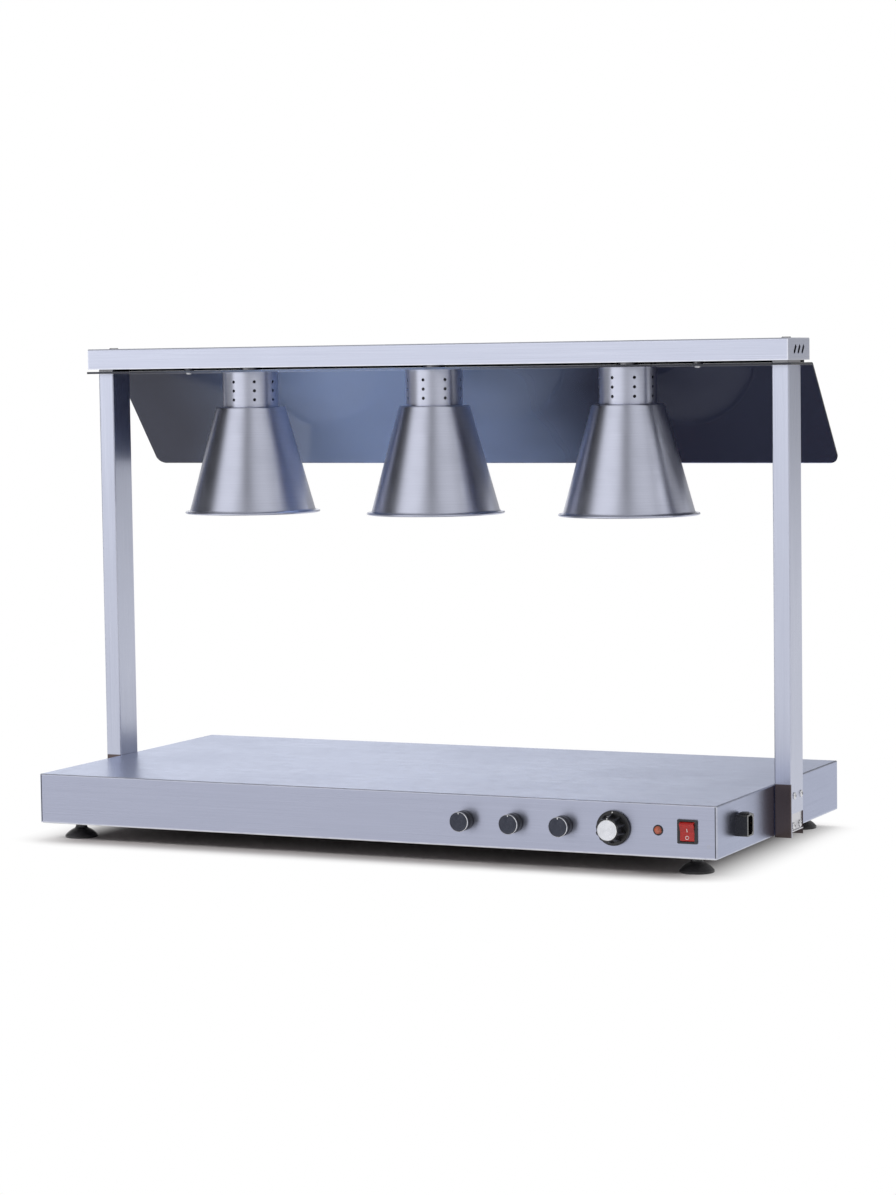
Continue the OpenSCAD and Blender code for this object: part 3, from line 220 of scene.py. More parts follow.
@dataclass
class EffectMaker:
    """Builds the inside of an effect's node group."""

    graph: Graph
    given: Callable[[str], Socket]

    def grain(self) -> dict[str, Socket]:
        """Draws fine lines along X, as on brushed sheet.

        Returns:
            Tone and height of the lines.
        """
        graph = self.graph
        x, y, z = graph.parts(self.given("Vector"))
        across = self.given("Across")
        along = graph.calc("MULTIPLY", x, self.given("Along"))
        lines = graph.join(along, graph.calc("MULTIPLY", y, across), graph.calc("MULTIPLY", z, across))
        fine = graph.noise(lines, 1.0, 4.0)
        broad = graph.noise(graph.vector("MULTIPLY", lines, (0.35, 0.3, 0.3)), 1.0, 2.0)
        tone = graph.calc("ADD", graph.calc("MULTIPLY", fine, 0.75), graph.calc("MULTIPLY", broad, 0.25))
        return {"Tone": tone, "Height": fine}

    def rings(self) -> dict[str, Socket]:
        """Draws fine rings round the Z axis, as on spun or turned metal.

        Returns:
            Tone and height of the rings.
        """
        graph = self.graph
        x, y, z = graph.parts(self.given("Vector"))
        radius = graph.calc("MAXIMUM", graph.length(graph.join(x, y, 0.0)), 1e-5)
        travel = graph.calc("MULTIPLY", graph.calc("ADD", radius, z), self.given("Rings"))
        around = graph.join(graph.calc("DIVIDE", x, radius), graph.calc("DIVIDE", y, radius), travel)
        fine = graph.noise(graph.vector("MULTIPLY", around, (0.9, 0.9, 1.0)), 1.0, 3.0)
        broad = graph.noise(graph.vector("MULTIPLY", around, (1.6, 1.6, 0.3)), 1.0, 2.0)
        tone = graph.calc("ADD", graph.calc("MULTIPLY", fine, 0.8), graph.calc("MULTIPLY", broad, 0.2))
        return {"Tone": tone, "Height": fine}

    def skin(self) -> dict[str, Socket]:
        """Draws fine pebbles and faint flow lines of moulded plastic.

        Returns:
            Tone of the flow lines and height of the pebbles.
        """
        place = self.given("Vector")
        pebbles = self.graph.noise(place, self.given("Scale"), 3.0)
        flow = self.graph.noise(self.graph.vector("MULTIPLY", place, (40.0, 40.0, 90.0)), 1.0, 3.0)
        return {"Tone": flow, "Height": pebbles}

    def handling(self) -> dict[str, Socket]:
        """Returns the mask of soft patches where hands and cloths have passed."""
        patches = self.graph.noise(self.given("Vector"), self.given("Scale"), 4.0)
        return {"Mask": self.graph.remap(patches, 0.42, 0.72)}

    def dust(self) -> dict[str, Socket]:
        """Lays fine dust on what faces up.

        Returns:
            Mask of the dust.
        """
        graph = self.graph
        facing = graph.remap(graph.normal()[2], 0.55, 0.98)
        specks = graph.remap(graph.noise(self.given("Vector"), 55.0, 5.0), 0.38, 0.7)
        laid = graph.calc("MULTIPLY", facing, specks)
        return {"Mask": graph.calc("MULTIPLY", laid, self.given("Amount"))}

    def edges(self) -> dict[str, Socket]:
        """Finds the folded edges of a box, where the finish is rubbed bright and a highlight is painted.

        Returns:
            Mask of the edges.
        """
        graph = self.graph
        place, width = self.given("Vector"), self.given("Width")
        off = graph.vector("ABSOLUTE", graph.vector("SUBTRACT", place, self.given("Centre")))
        inside = graph.parts(graph.vector("SUBTRACT", self.given("Half"), off))
        near = [graph.remap(graph.calc("DIVIDE", side, width), 0.0, 1.0, 1.0, 0.0) for side in inside]
        pairs = [graph.calc("MULTIPLY", near[i], near[i - 1]) for i in range(3)]
        most = graph.calc("MAXIMUM", graph.calc("MAXIMUM", pairs[0], pairs[1]), pairs[2])
        patchy = graph.remap(graph.noise(place, 70.0, 3.0), 0.3, 0.6, 0.5, 1.0)
        return {"Mask": graph.calc("MULTIPLY", most, patchy)}


EFFECTS: dict[Effect, tuple[Callable, tuple[str, ...], tuple[str, ...]]] = {
    Effect.GRAIN: (EffectMaker.grain, ("Vector", "Along", "Across"), ("Tone", "Height")),
    Effect.RINGS: (EffectMaker.rings, ("Vector", "Rings"), ("Tone", "Height")),
    Effect.SKIN: (EffectMaker.skin, ("Vector", "Scale"), ("Tone", "Height")),
    Effect.HANDLING: (EffectMaker.handling, ("Vector", "Scale"), ("Mask",)),
    Effect.DUST: (EffectMaker.dust, ("Vector", "Amount"), ("Mask",)),
    Effect.EDGES: (EffectMaker.edges, ("Vector", "Centre", "Half", "Width"), ("Mask",)),
}
VECTOR_INPUTS = ("Vector", "Centre", "Half")


def effect_tree(effect: Effect) -> bpy.types.NodeTree:
    """Returns an effect's node group, built the first time it is asked for.

    Args:
        effect: Which effect.

    Returns:
        Its node group.
    """
    tree = bpy.data.node_groups.get(effect.value)
    if tree is not None:
        return tree
    build, inputs, outputs = EFFECTS[effect]
    tree = bpy.data.node_groups.new(effect.value, "ShaderNodeTree")
    for name in inputs:
        kind = "NodeSocketVector" if name in VECTOR_INPUTS else "NodeSocketFloat"
        tree.interface.new_socket(name, in_out="INPUT", socket_type=kind)
    for name in outputs:
        tree.interface.new_socket(name, in_out="OUTPUT", socket_type="NodeSocketFloat")
    graph = Graph(tree)
    source = tree.nodes.new("NodeGroupInput")
    made = build(EffectMaker(graph, source.outputs.__getitem__))
    graph.add("NodeGroupOutput", made)
    return tree


# Finishes


class Grain(Enum):
    """Direction of a sheet's brushing; the value turns that direction onto X."""

    ALONG_X = ORIGIN
    ALONG_Y = (0.0, 0.0, -math.pi / 2)
    ALONG_Z = (0.0, math.pi / 2, 0.0)


GRAIN_LINE = {
    Grain.ALONG_X: (1.0, 0.0, 0.0),
    Grain.ALONG_Y: (0.0, 1.0, 0.0),
    Grain.ALONG_Z: (0.0, 0.0, 1.0),
}


@dataclass(frozen=True)
class Finish:
    """What every finish has."""

    name: str

    def material(self) -> bpy.types.Material:
        """Builds the finish's material the first time it is asked for.

        Returns:
            The finish's material.
        """
        material = bpy.data.materials.get(self.name)
        if material is None:
            material = bpy.data.materials.new(self.name)
            material.use_nodes = True
            graph = Graph(material.node_tree)
            self.dress(graph, material.node_tree.nodes["Principled BSDF"])
        return material

    def dress(self, graph: Graph, shader: Node) -> None:
        """Builds the nodes that feed the shader."""
        raise NotImplementedError

    @staticmethod
    def place(graph: Graph, centre: Point = ORIGIN, turn: Point = ORIGIN) -> Socket:
        """Returns object coordinates, from a centre and turned about it.

        Args:
            graph: The material's graph.
            centre: Point that becomes the origin.
            turn: Turn in radians about X, Y and Z.

        Returns:
            The coordinates.
        """
        found = graph.add("ShaderNodeTexCoord").outputs["Object"]
        moved = graph.vector("SUBTRACT", found, centre)
        return graph.add("ShaderNodeMapping", {"Vector": moved, "Rotation": turn}).outputs[0]

    @staticmethod
    def feed(graph: Graph, shader: Node, values: dict[str, Socket]) -> None:
        """Links values to the shader's inputs of those names."""
        for name, value in values.items():
            graph.tree.links.new(value, shader.inputs[name])

    @staticmethod
    def fix(shader: Node, values: dict[str, object]) -> None:
        """Sets the shader's inputs that are the same all over the surface."""
        for name, value in values.items():
            shader.inputs[name].default_value = value

    @staticmethod
    def rubbed(graph: Graph, place: Socket, scale: float) -> Socket:
        """Returns the mask of soft patches at a scale."""
        return graph.effect(Effect.HANDLING, {"Vector": place, "Scale": scale}).outputs["Mask"]

    @staticmethod
    def dusted(graph: Graph, place: Socket, amount: float) -> Socket:
        """Returns the mask of dust on what faces up."""
        return graph.effect(Effect.DUST, {"Vector": place, "Amount": amount}).outputs["Mask"]

    @staticmethod
    def shades(graph: Graph, tone: Socket, deep: Colour, light: Colour) -> Socket:
        """Returns the colour of a tone between a deep and a light one."""
        return graph.blend(graph.remap(tone, *TONES), deep, light)

    @staticmethod
    def relief(graph: Graph, shader: Node, height: Socket, depth: float) -> None:
        """Adds a bump to the shader.

        Args:
            graph: The material's graph.
            shader: The Principled BSDF.
            height: Height from 0 to 1.
            depth: Height of 1, in metres.
        """
        bump = graph.add("ShaderNodeBump", {"Height": height, "Distance": depth, "Strength": 1.0})
        graph.tree.links.new(bump.outputs[0], shader.inputs["Normal"])


@dataclass(frozen=True)
class SheetSteel(Finish):
    """Brushed stainless sheet, folded into a box whose edges are rubbed bright and carry a painted
    highlight.
    """

    light: Colour = (0.545, 0.57, 0.68)
    deep: Colour = (0.475, 0.50, 0.61)
    roughness: float = 0.3
    anisotropy: float = 0.5
    grain: Grain = Grain.ALONG_X
    side_grain: Grain | None = None
    grain_along: float = 9.0
    grain_across: float = 3800.0
    grain_depth: float = 0.006 * MM
    centre: Point = ORIGIN
    half: Point = (1.0, 1.0, 1.0)
    edge: float = 2.5 * MM
    edge_wear_and_highlight_tone: Colour = (0.86, 0.87, 0.92)
    marks: float = 7.0
    dust: float = 0.03
    dust_tone: Colour = (0.62, 0.60, 0.57)
    # Height and colour of a painted reflection that darkens the operator's side of a post's foot
    painted_reflection_top: float = 0.0
    painted_reflection_tone: Colour = (0.12, 0.095, 0.095)
    glancing: Colour = WHITE

    def dress(self, graph: Graph, shader: Node) -> None:
        """Builds grain, soft handling marks, rubbed folds with a painted highlight, a painted reflection at
        a post's foot where asked, and a little dust.

        Args:
            graph: The material's nodes.
            shader: The shader that they feed.
        """
        place = self.place(graph)
        tone, height = self.brushing(graph, self.grain)
        line = graph.join(*GRAIN_LINE[self.grain])
        if self.side_grain is not None:
            side = graph.calc("GREATER_THAN", graph.calc("ABSOLUTE", graph.normal()[0]), STEEP)
            side_tone, side_height = self.brushing(graph, self.side_grain)
            tone = graph.pick(side, tone, side_tone)
            height = graph.pick(side, height, side_height)
            lines = {0: side, 4: line, 5: graph.join(*GRAIN_LINE[self.side_grain])}
            line = graph.add("ShaderNodeMix", lines, data_type="VECTOR").outputs[1]
        feeds = {"Vector": place, "Centre": self.centre, "Half": self.half, "Width": self.edge}
        edges = graph.effect(Effect.EDGES, feeds).outputs["Mask"]
        dust = self.dusted(graph, place, self.dust)
        colour = self.shades(graph, tone, self.deep, self.light)
        # The folds are lightened as rubbing wear and as a painted highlight
        colour = graph.blend(graph.calc("MULTIPLY", edges, 0.5), colour, self.edge_wear_and_highlight_tone)
        # Painted reflection: the post's foot is darkened where the shaded base wall would mirror in it
        if self.painted_reflection_top:
            colour = graph.blend(self.foot(graph, place), colour, self.painted_reflection_tone)
        colour = graph.blend(dust, colour, self.dust_tone)
        rough = graph.remap(tone, *TONES, self.roughness + 0.05, self.roughness - 0.04)
        marks = graph.calc("MULTIPLY", self.rubbed(graph, place, self.marks), 0.025)
        rough = graph.calc("ADD", graph.calc("ADD", rough, marks), dust, clamp=True)
        metal = graph.calc("SUBTRACT", 1.0, dust)
        values = {"Base Color": colour, "Roughness": rough, "Metallic": metal, "Tangent": line}
        self.feed(graph, shader, values)
        drawn = {"Anisotropic": self.anisotropy, "Anisotropic Rotation": ACROSS_LINES}
        self.fix(shader, {**drawn, "Specular Tint": (*self.glancing, 1.0)})
        self.relief(graph, shader, height, self.grain_depth)

    def brushing(self, graph: Graph, grain: Grain) -> tuple[Socket, Socket]:
        """Builds the brushing in one direction.

        Args:
            graph: The material's nodes.
            grain: Direction of the brushing.

        Returns:
            Its tone and height.
        """
        place = self.place(graph, turn=grain.value)
        feeds = {"Vector": place, "Along": self.grain_along, "Across": self.grain_across}
        node = graph.effect(Effect.GRAIN, feeds)
        return node.outputs["Tone"], node.outputs["Height"]

    def foot(self, graph: Graph, place: Socket) -> Socket:
        """Finds where a dark reflection is painted on the operator's side, below the top of the post's
        foot.

        Args:
            graph: The material's nodes.
            place: Place on the piece.

        Returns:
            1 where the reflection is painted and 0 elsewhere.
        """
        toward = graph.calc("LESS_THAN", graph.normal()[1], -STEEP)
        top = graph.remap(graph.parts(place)[2], self.painted_reflection_top - 1 * MM, self.painted_reflection_top, 1.0, 0.0)
        return graph.calc("MULTIPLY", toward, top)


@dataclass(frozen=True)
class SpunSteel(Finish):
    """Metal spun or turned about an axis, with fine rings and a stretched gloss."""

    light: Colour = (0.56, 0.58, 0.69)
    deep: Colour = (0.51, 0.53, 0.635)
    roughness: float = 0.34
    anisotropy: float = 0.7
    rings: float = 3600.0
    marks: float = 22.0
    centre: Point = ORIGIN
    facing: bool = False
    rim: float = 0.0
    rim_light: Colour = (0.9, 0.9, 0.92)
    depth: float = 0.0015 * MM

    def dress(self, graph: Graph, shader: Node) -> None:
        """Builds rings, handling marks and a bright turned rim.

        Args:
            graph: The material's nodes.
            shader: The shader that they feed.
        """
        turn = (math.pi / 2, 0.0, 0.0) if self.facing else ORIGIN
        place = self.place(graph, self.centre, turn)
        rings = graph.effect(Effect.RINGS, {"Vector": place, "Rings": self.rings})
        tone = rings.outputs["Tone"]
        colour = self.shades(graph, tone, self.deep, self.light)
        rough = graph.remap(tone, *TONES, self.roughness + 0.05, self.roughness - 0.04)
        marks = graph.calc("MULTIPLY", self.rubbed(graph, place, self.marks), 0.06)
        rough = graph.calc("ADD", rough, marks, clamp=True)
        if self.rim:
            x, y, _ = graph.parts(place)
            radius = graph.length(graph.join(x, y, 0.0))
            bright = graph.remap(radius, self.rim - 0.12 * MM, self.rim)
            colour = graph.blend(bright, colour, self.rim_light)
        axis = (0.0, 1.0, 0.0) if self.facing else (0.0, 0.0, 1.0)
        outward = graph.vector("SUBTRACT", graph.add("ShaderNodeTexCoord").outputs["Object"], self.centre)
        line = graph.vector("NORMALIZE", graph.vector("CROSS_PRODUCT", axis, outward))
        self.feed(graph, shader, {"Base Color": colour, "Roughness": rough, "Tangent": line})
        drawn = {"Anisotropic": self.anisotropy, "Anisotropic Rotation": ACROSS_LINES}
        self.fix(shader, {**drawn, "Metallic": 1.0})
        self.relief(graph, shader, rings.outputs["Height"], self.depth)


@dataclass(frozen=True)
class PlainMetal(Finish):
    """Plain rolled, plated or cast metal."""

    light: Colour = (0.60, 0.60, 0.61)
    deep: Colour = (0.42, 0.42, 0.44)
    roughness: float = 0.35
    scale: float = 900.0
    patches: float = 30.0
    depth: float = 0.01 * MM
    dust: float = 0.15
    dust_tone: Colour = (0.55, 0.53, 0.50)

    def dress(self, graph: Graph, shader: Node) -> None:
        """Builds a mottled tone, worn patches and dust.

        Args:
            graph: The material's nodes.
            shader: The shader that they feed.
        """
        place = self.place(graph)
        skin = graph.effect(Effect.SKIN, {"Vector": place, "Scale": self.scale})
        worn = self.rubbed(graph, place, self.patches)
        dust = self.dusted(graph, place, self.dust)
        mottled = graph.calc("MULTIPLY", skin.outputs["Tone"], 0.4)
        tone = graph.calc("ADD", graph.calc("MULTIPLY", worn, 0.6), mottled)
        colour = graph.blend(tone, self.light, self.deep)
        colour = graph.blend(dust, colour, self.dust_tone)
        rough = graph.remap(worn, 0.0, 1.0, self.roughness, self.roughness + 0.15)
        rough = graph.calc("ADD", rough, dust, clamp=True)
        metal = graph.calc("SUBTRACT", 1.0, dust)
        self.feed(graph, shader, {"Base Color": colour, "Roughness": rough, "Metallic": metal})
        self.relief(graph, shader, skin.outputs["Height"], self.depth)


@dataclass(frozen=True)
class Moulding(Finish):
    """Moulded plastic, rubber or glazed ceramic."""

    colour: Colour = (0.02, 0.02, 0.024)
    worn: Colour = (0.06, 0.06, 0.065)
    roughness: float = 0.32
    scale: float = 1500.0
    patches: float = 60.0
    depth: float = 0.02 * MM
    coat: float = 0.0
    coat_roughness: float = 0.08
    dust: float = 0.08
    dust_tone: Colour = (0.45, 0.44, 0.42)

    def dress(self, graph: Graph, shader: Node) -> None:
        """Builds a fine skin, worn patches and dust.

        Args:
            graph: The material's nodes.
            shader: The shader that they feed.
        """
        place = self.place(graph)
        skin = graph.effect(Effect.SKIN, {"Vector": place, "Scale": self.scale})
        worn = self.rubbed(graph, place, self.patches)
        dust = self.dusted(graph, place, self.dust)
        tone = graph.calc("MULTIPLY", worn, graph.remap(skin.outputs["Tone"], *TONES, 0.3, 0.9))
        colour = graph.blend(tone, self.colour, self.worn)
        colour = graph.blend(dust, colour, self.dust_tone)
        rough = graph.remap(worn, 0.0, 1.0, self.roughness, self.roughness + 0.12)
        rough = graph.calc("ADD", rough, dust, clamp=True)
        self.feed(graph, shader, {"Base Color": colour, "Roughness": rough})
        self.fix(shader, {"Coat Weight": self.coat, "Coat Roughness": self.coat_roughness})
        self.relief(graph, shader, skin.outputs["Height"], self.depth)


@dataclass(frozen=True)
class TintedSheet(Finish):
    """Dark tinted sheet of the guard, glossy on both faces, with a painted reflection that makes it palest
    left of its middle.
    """

    painted_reflection_tint: Colour = (0.30, 0.385, 0.60)
    deep: Colour = (0.032, 0.036, 0.065)
    painted_reflection_x: float = -0.12
    painted_reflection_spread: float = 0.36
    see_through: float = 0.55
    gloss: float = 0.2
    dust: float = 0.05
    dust_tone: Colour = (0.4, 0.4, 0.42)

    def dress(self, graph: Graph, shader: Node) -> None:
        """Builds the tint with a painted reflection palest left of the middle, wiping marks and a faint
        waviness.

        Args:
            graph: The material's nodes.
            shader: The shader that they feed.
        """
        place = self.place(graph)
        off = graph.calc("ABSOLUTE", graph.calc("SUBTRACT", graph.parts(place)[0], self.painted_reflection_x))
        clouds = graph.noise(graph.vector("MULTIPLY", place, (2.2, 5.0, 5.0)), 1.0, 2.0)
        depth = graph.calc("ADD", off, graph.calc("MULTIPLY", graph.calc("SUBTRACT", clouds, 0.5), 0.3))
        wiped = self.rubbed(graph, place, 12.0)
        dust = self.dusted(graph, place, self.dust)
        # Painted reflection: the tint pales towards a line left of the middle, standing in for the mirrored
        # lit plate
        colour = graph.blend(graph.remap(depth, 0.05, self.painted_reflection_spread), self.painted_reflection_tint, self.deep)
        colour = graph.blend(dust, colour, self.dust_tone)
        rough = graph.calc("ADD", graph.remap(wiped, 0.0, 1.0, 0.05, 0.11), dust)
        self.feed(graph, shader, {"Base Color": colour, "Roughness": rough})
        self.fix(shader, {"Transmission Weight": self.see_through, "Specular IOR Level": self.gloss})
        self.relief(graph, shader, graph.noise(place, 9.0, 1.0), 0.05 * MM)


@dataclass(frozen=True)
class LampGlass(Finish):
    """Ruby reflector bulb: red face, silvered neck and a plated screw cap."""

    glass: Colour = (0.50, 0.035, 0.022)
    silver: Colour = (0.70, 0.70, 0.72)
    cap: Colour = (0.62, 0.56, 0.42)
    silver_from: float = 0.512
    silver_fade: float = 4 * MM
    cap_from: float = 0.6035
    soot: Colour = (0.2, 0.16, 0.14)

    def dress(self, graph: Graph, shader: Node) -> None:
        """Builds the three zones by height, with pressed dimples on the face.

        Args:
            graph: The material's nodes.
            shader: The shader that they feed.
        """
        place = self.place(graph)
        height = graph.parts(place)[2]
        silvered = graph.remap(height, self.silver_from, self.silver_from + self.silver_fade)
        capped = graph.calc("GREATER_THAN", height, self.cap_from)
        wear = self.rubbed(graph, place, 45.0)
        colour = graph.blend(silvered, self.glass, self.silver)
        colour = graph.blend(capped, colour, self.cap)
        colour = graph.blend(graph.calc("MULTIPLY", wear, 0.15), colour, self.soot)
        rough = graph.remap(wear, 0.0, 1.0, 0.12, 0.28)
        self.feed(graph, shader, {"Base Color": colour, "Roughness": rough, "Metallic": silvered})
        self.fix(shader, {"Coat Weight": 0.6})
        self.relief(graph, shader, graph.noise(place, 240.0, 1.0), 0.12 * MM)


@dataclass(frozen=True)
class Wool(Finish):
    """Mineral wool board: matted, pale fibres."""

    colour: Colour = (0.72, 0.68, 0.54)
    deep: Colour = (0.50, 0.45, 0.33)

    def dress(self, graph: Graph, shader: Node) -> None:
        """Builds matted fibres.

        Args:
            graph: The material's nodes.
            shader: The shader that they feed.
        """
        node = graph.effect(Effect.GRAIN, {"Vector": self.place(graph), "Along": 60.0, "Across": 700.0})
        colour = self.shades(graph, node.outputs["Tone"], self.deep, self.colour)
        self.feed(graph, shader, {"Base Color": colour})
        self.fix(shader, {"Roughness": 0.95})
        self.relief(graph, shader, node.outputs["Height"], 0.6 * MM)


@dataclass(frozen=True)
class CircuitBoard(Finish):
    """Green board between a plated control and an aluminium heat sink."""

    front: float = -0.2325
    board_from: float = 11.1 * MM
    board_to: float = 12.9 * MM
    green: tuple[Colour, Colour] = ((0.02, 0.12, 0.05), (0.05, 0.26, 0.11))
    plate: tuple[Colour, Colour] = ((0.42, 0.43, 0.45), (0.66, 0.66, 0.68))

    def dress(self, graph: Graph, shader: Node) -> None:
        """Colours the board by its depth behind the panel and shows its tracks.

        Args:
            graph: The material's nodes.
            shader: The shader that they feed.
        """
        place = self.place(graph)
        depth = graph.calc("SUBTRACT", graph.parts(place)[1], self.front)
        behind = graph.calc("GREATER_THAN", depth, self.board_from)
        board = graph.calc("MULTIPLY", behind, graph.calc("LESS_THAN", depth, self.board_to))
        cells = graph.add("ShaderNodeTexVoronoi", {"Vector": place, "Scale": 260.0}, distance="MANHATTAN")
        tracks = graph.calc("GREATER_THAN", cells.outputs["Distance"], 0.42)
        green = graph.blend(tracks, *self.green)
        metal = graph.blend(graph.noise(place, 90.0, 2.0), *self.plate)
        rough = graph.remap(self.rubbed(graph, place, 80.0), 0.0, 1.0, 0.3, 0.5)
        bare = graph.calc("SUBTRACT", 1.0, board)
        colour = graph.blend(board, metal, green)
        self.feed(graph, shader, {"Base Color": colour, "Roughness": rough, "Metallic": bare})
        self.relief(graph, shader, tracks, 0.03 * MM)


# Meshes


def finish_piece(
    name: str, shape: Shape, finish: Finish, body: str, sharp: float = 35.0
) -> bpy.types.Object:
    """Turns a bmesh into a piece of the station.

    Args:
        name: The piece's name.
        shape: Its bmesh, which is freed.
        finish: Its finish.
        body: The frame's body that carries it.
        sharp: Angle in degrees past which an edge stays sharp.

    Returns:
        The finished object.
    """
    bmesh.ops.remove_doubles(shape, verts=shape.verts, dist=1e-6)
    bmesh.ops.recalc_face_normals(shape, faces=shape.faces)
    # A spin leaves its faces in another order each run, so the faces are put in a fixed one
    shape.verts.index_update()
    count = len(shape.verts)
    shape.faces.sort(key=lambda face: face.verts[0].index * count + face.verts[1].index)
    mesh = bpy.data.meshes.new(name)
    shape.to_mesh(mesh)
    shape.free()
    mesh.shade_smooth()
    mesh.set_sharp_from_angle(angle=math.radians(sharp))
    mesh.materials.append(finish.material())
    piece = bpy.data.objects.new(name, mesh)
    bpy.context.scene.collection.objects.link(piece)
    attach(piece, body)
    log.info("%s: %d faces, rides on %s", name, len(mesh.polygons), body)
    return piece


def spin_profile(
    shape: Shape, profile: Sequence[tuple[float, float]], place: Matrix, steps: int = 32
) -> None:
    """Spins a profile about Z and puts the result in place.

    Args:
        shape: Where the faces go.
        profile: Radius and height of each point.
        place: Where the turned shape stands.
        steps: Faces round the axis.
    """
    kept = set(shape.verts)
    points = [shape.verts.new((radius, 0.0, height)) for radius, height in profile]
    edges = [shape.edges.new(pair) for pair in zip(points, points[1:])]
    bmesh.ops.spin(
        shape,
        geom=points + edges,
        cent=ORIGIN,
        axis=(0.0, 0.0, 1.0),
        angle=math.tau,
        steps=steps,
        use_merge=True,
    )
    turned = [vert for vert in shape.verts if vert not in kept]
    bmesh.ops.transform(shape, matrix=place, verts=turned)


def raised_bar(shape: Shape, size: Point, place: Matrix, round_off: float = 0.0) -> None:
    """Adds a bar with rounded upright edges.

    Args:
        shape: Where the faces go.
        size: Its sides along its own axes.
        place: Where its centre stands.
        round_off: Radius of the upright edges.
    """
    cube = bmesh.ops.create_cube(shape, size=1.0, matrix=place @ Matrix.Diagonal((*size, 1.0)))
    if round_off:
        up = (place.to_3x3() @ Vector((0.0, 0.0, 1.0))).normalized()
        edges = {edge for vert in cube["verts"] for edge in vert.link_edges}
        upright = [e for e in edges if abs((e.verts[1].co - e.verts[0].co).normalized().dot(up)) > 0.9]
        bmesh.ops.bevel(
            shape, geom=upright, offset=round_off, affect="EDGES", segments=4, profile=0.5, material=-1
        )


def flat_ring(shape: Shape, outer: float, inner: float, thick: float, place: Matrix) -> None:
    """Adds a flat ring about its own Z axis.

    Args:
        shape: Where the faces go.
        outer: Outer radius.
        inner: Inner radius.
        thick: Thickness along the axis.
        place: Where its centre stands.
    """
    half = thick / 2
    corners = [(inner, -half), (outer, -half), (outer, half), (inner, half), (inner, -half)]
    spin_profile(shape, corners, place)


def facing_operator(x: float, y: float, z: float, lean: float = 0.0) -> Matrix:
    """Returns a place whose Z axis points at the operator and whose Y axis points up.

    Args:
        x: Place along the front.
        y: Place in depth.
        z: Height.
        lean: Turn about X in degrees; a positive one looks up.

    Returns:
        The place.
    """
    return Matrix.Translation((x, y, z)) @ Matrix.Rotation(math.radians(90.0 - lean), 4, "X")


# The station

Looks = dict[str, Finish]


@dataclass
class SubAssembly:
    """Part of the station: the finishes of its CAD nodes, and the pieces that the scene adds."""

    def looks(self) -> Looks:
        """Returns the finish of each of its CAD nodes."""
        raise NotImplementedError

    def fittings(self) -> None:
        """Adds small pieces; most sub-assemblies need none."""

    def build(self, frame: dict) -> None:
        """Dresses the nodes and adds the pieces.
        """
        for name, finish in self.looks().items():
            materials = frame["nodes"][name].data.materials
            materials.clear()
            materials.append(finish.material())
            log.info("%s: dressed as %s", name, finish.name)
        self.fittings()


@dataclass
class Base(SubAssembly):
    """Warming plate: folded shell, bottom pan and what heats it."""

    centre: Point = (0.0, 0.0125, 0.0575)
    half: Point = (0.5, 0.245, 0.034)
    seam: Point = (1.1 * MM, 0.12 * MM, 65 * MM)
    seam_off: float = 2.4 * MM
    weld_place: tuple[float, float] = (0.4886, 0.0395)
    weld_radius: float = 2.1 * MM
    weld_width: float = 0.7 * MM
    weld_height: float = 0.16 * MM

    def looks(self) -> Looks:
        """Picks the finishes of the shell and the parts inside it.

        Returns:
            A finish for each of its CAD nodes.
        """
        rolled = PlainMetal("rolled_steel")
        return {
            # Same brushed steel as the beam and posts, set darker: painted shade
            "base_shell": SheetSteel(
                "brushed_shell_painted_shade",
                light=(0.40, 0.42, 0.53),
                deep=(0.35, 0.37, 0.47),
                glancing=(0.88, 0.92, 1.0),
                side_grain=Grain.ALONG_Y,
                centre=self.centre,
                half=self.half,
            ),
            "bottom_pan": rolled,
            "heat_tray": rolled,
            "element_clamps": rolled,
            "foot_nuts": PlainMetal("zinc_steel", light=(0.66, 0.64, 0.58), roughness=0.28),
            "heating_element": PlainMetal(
                "heated_sheath", light=(0.30, 0.26, 0.24), deep=(0.16, 0.13, 0.14), roughness=0.45
            ),
            "insulation": Wool("wool_board"),
        }

    def fittings(self) -> None:
        """Adds the dark seam beside each upright fold, and the mark of a spot weld."""
        shape = bmesh.new()
        x, y, z = self.centre
        for side in (-1.0, 1.0):
            for end in (-1.0, 1.0):
                middle = (x + side * (self.half[0] - self.seam_off), y + end * self.half[1], z)
                raised_bar(shape, self.seam, Matrix.Translation(middle))
        shade = PlainMetal(
            "seam_shadow", light=(0.05, 0.05, 0.06), deep=(0.03, 0.03, 0.04), roughness=0.6, dust=0.02
        )
        finish_piece("corner_seams", shape, shade, ROOT)
        shape = bmesh.new()
        place = facing_operator(self.weld_place[0], y - self.half[1], self.weld_place[1])
        inner = self.weld_radius - self.weld_width
        flat_ring(shape, self.weld_radius, inner, self.weld_height, place)
        worn = PlainMetal("weld_steel", light=(0.46, 0.47, 0.52), deep=(0.26, 0.27, 0.32))
        finish_piece("spot_weld_mark", shape, worn, ROOT)


@dataclass
class Feet(SubAssembly):
    """Four levelling feet."""

    def looks(self) -> Looks:
        """Picks the finishes of the feet and their studs.

        Returns:
            A finish for each of its CAD nodes.
        """
        foot = Moulding("foot_rubber", roughness=0.3, coat=0.25, dust=0.12)
        stud = PlainMetal("stud_steel", roughness=0.25)
        corners = ("front_left", "front_right", "back_left", "back_right")
        feet = {f"foot_{corner}": foot for corner in corners}
        return feet | {f"stud_{corner}": stud for corner in corners}


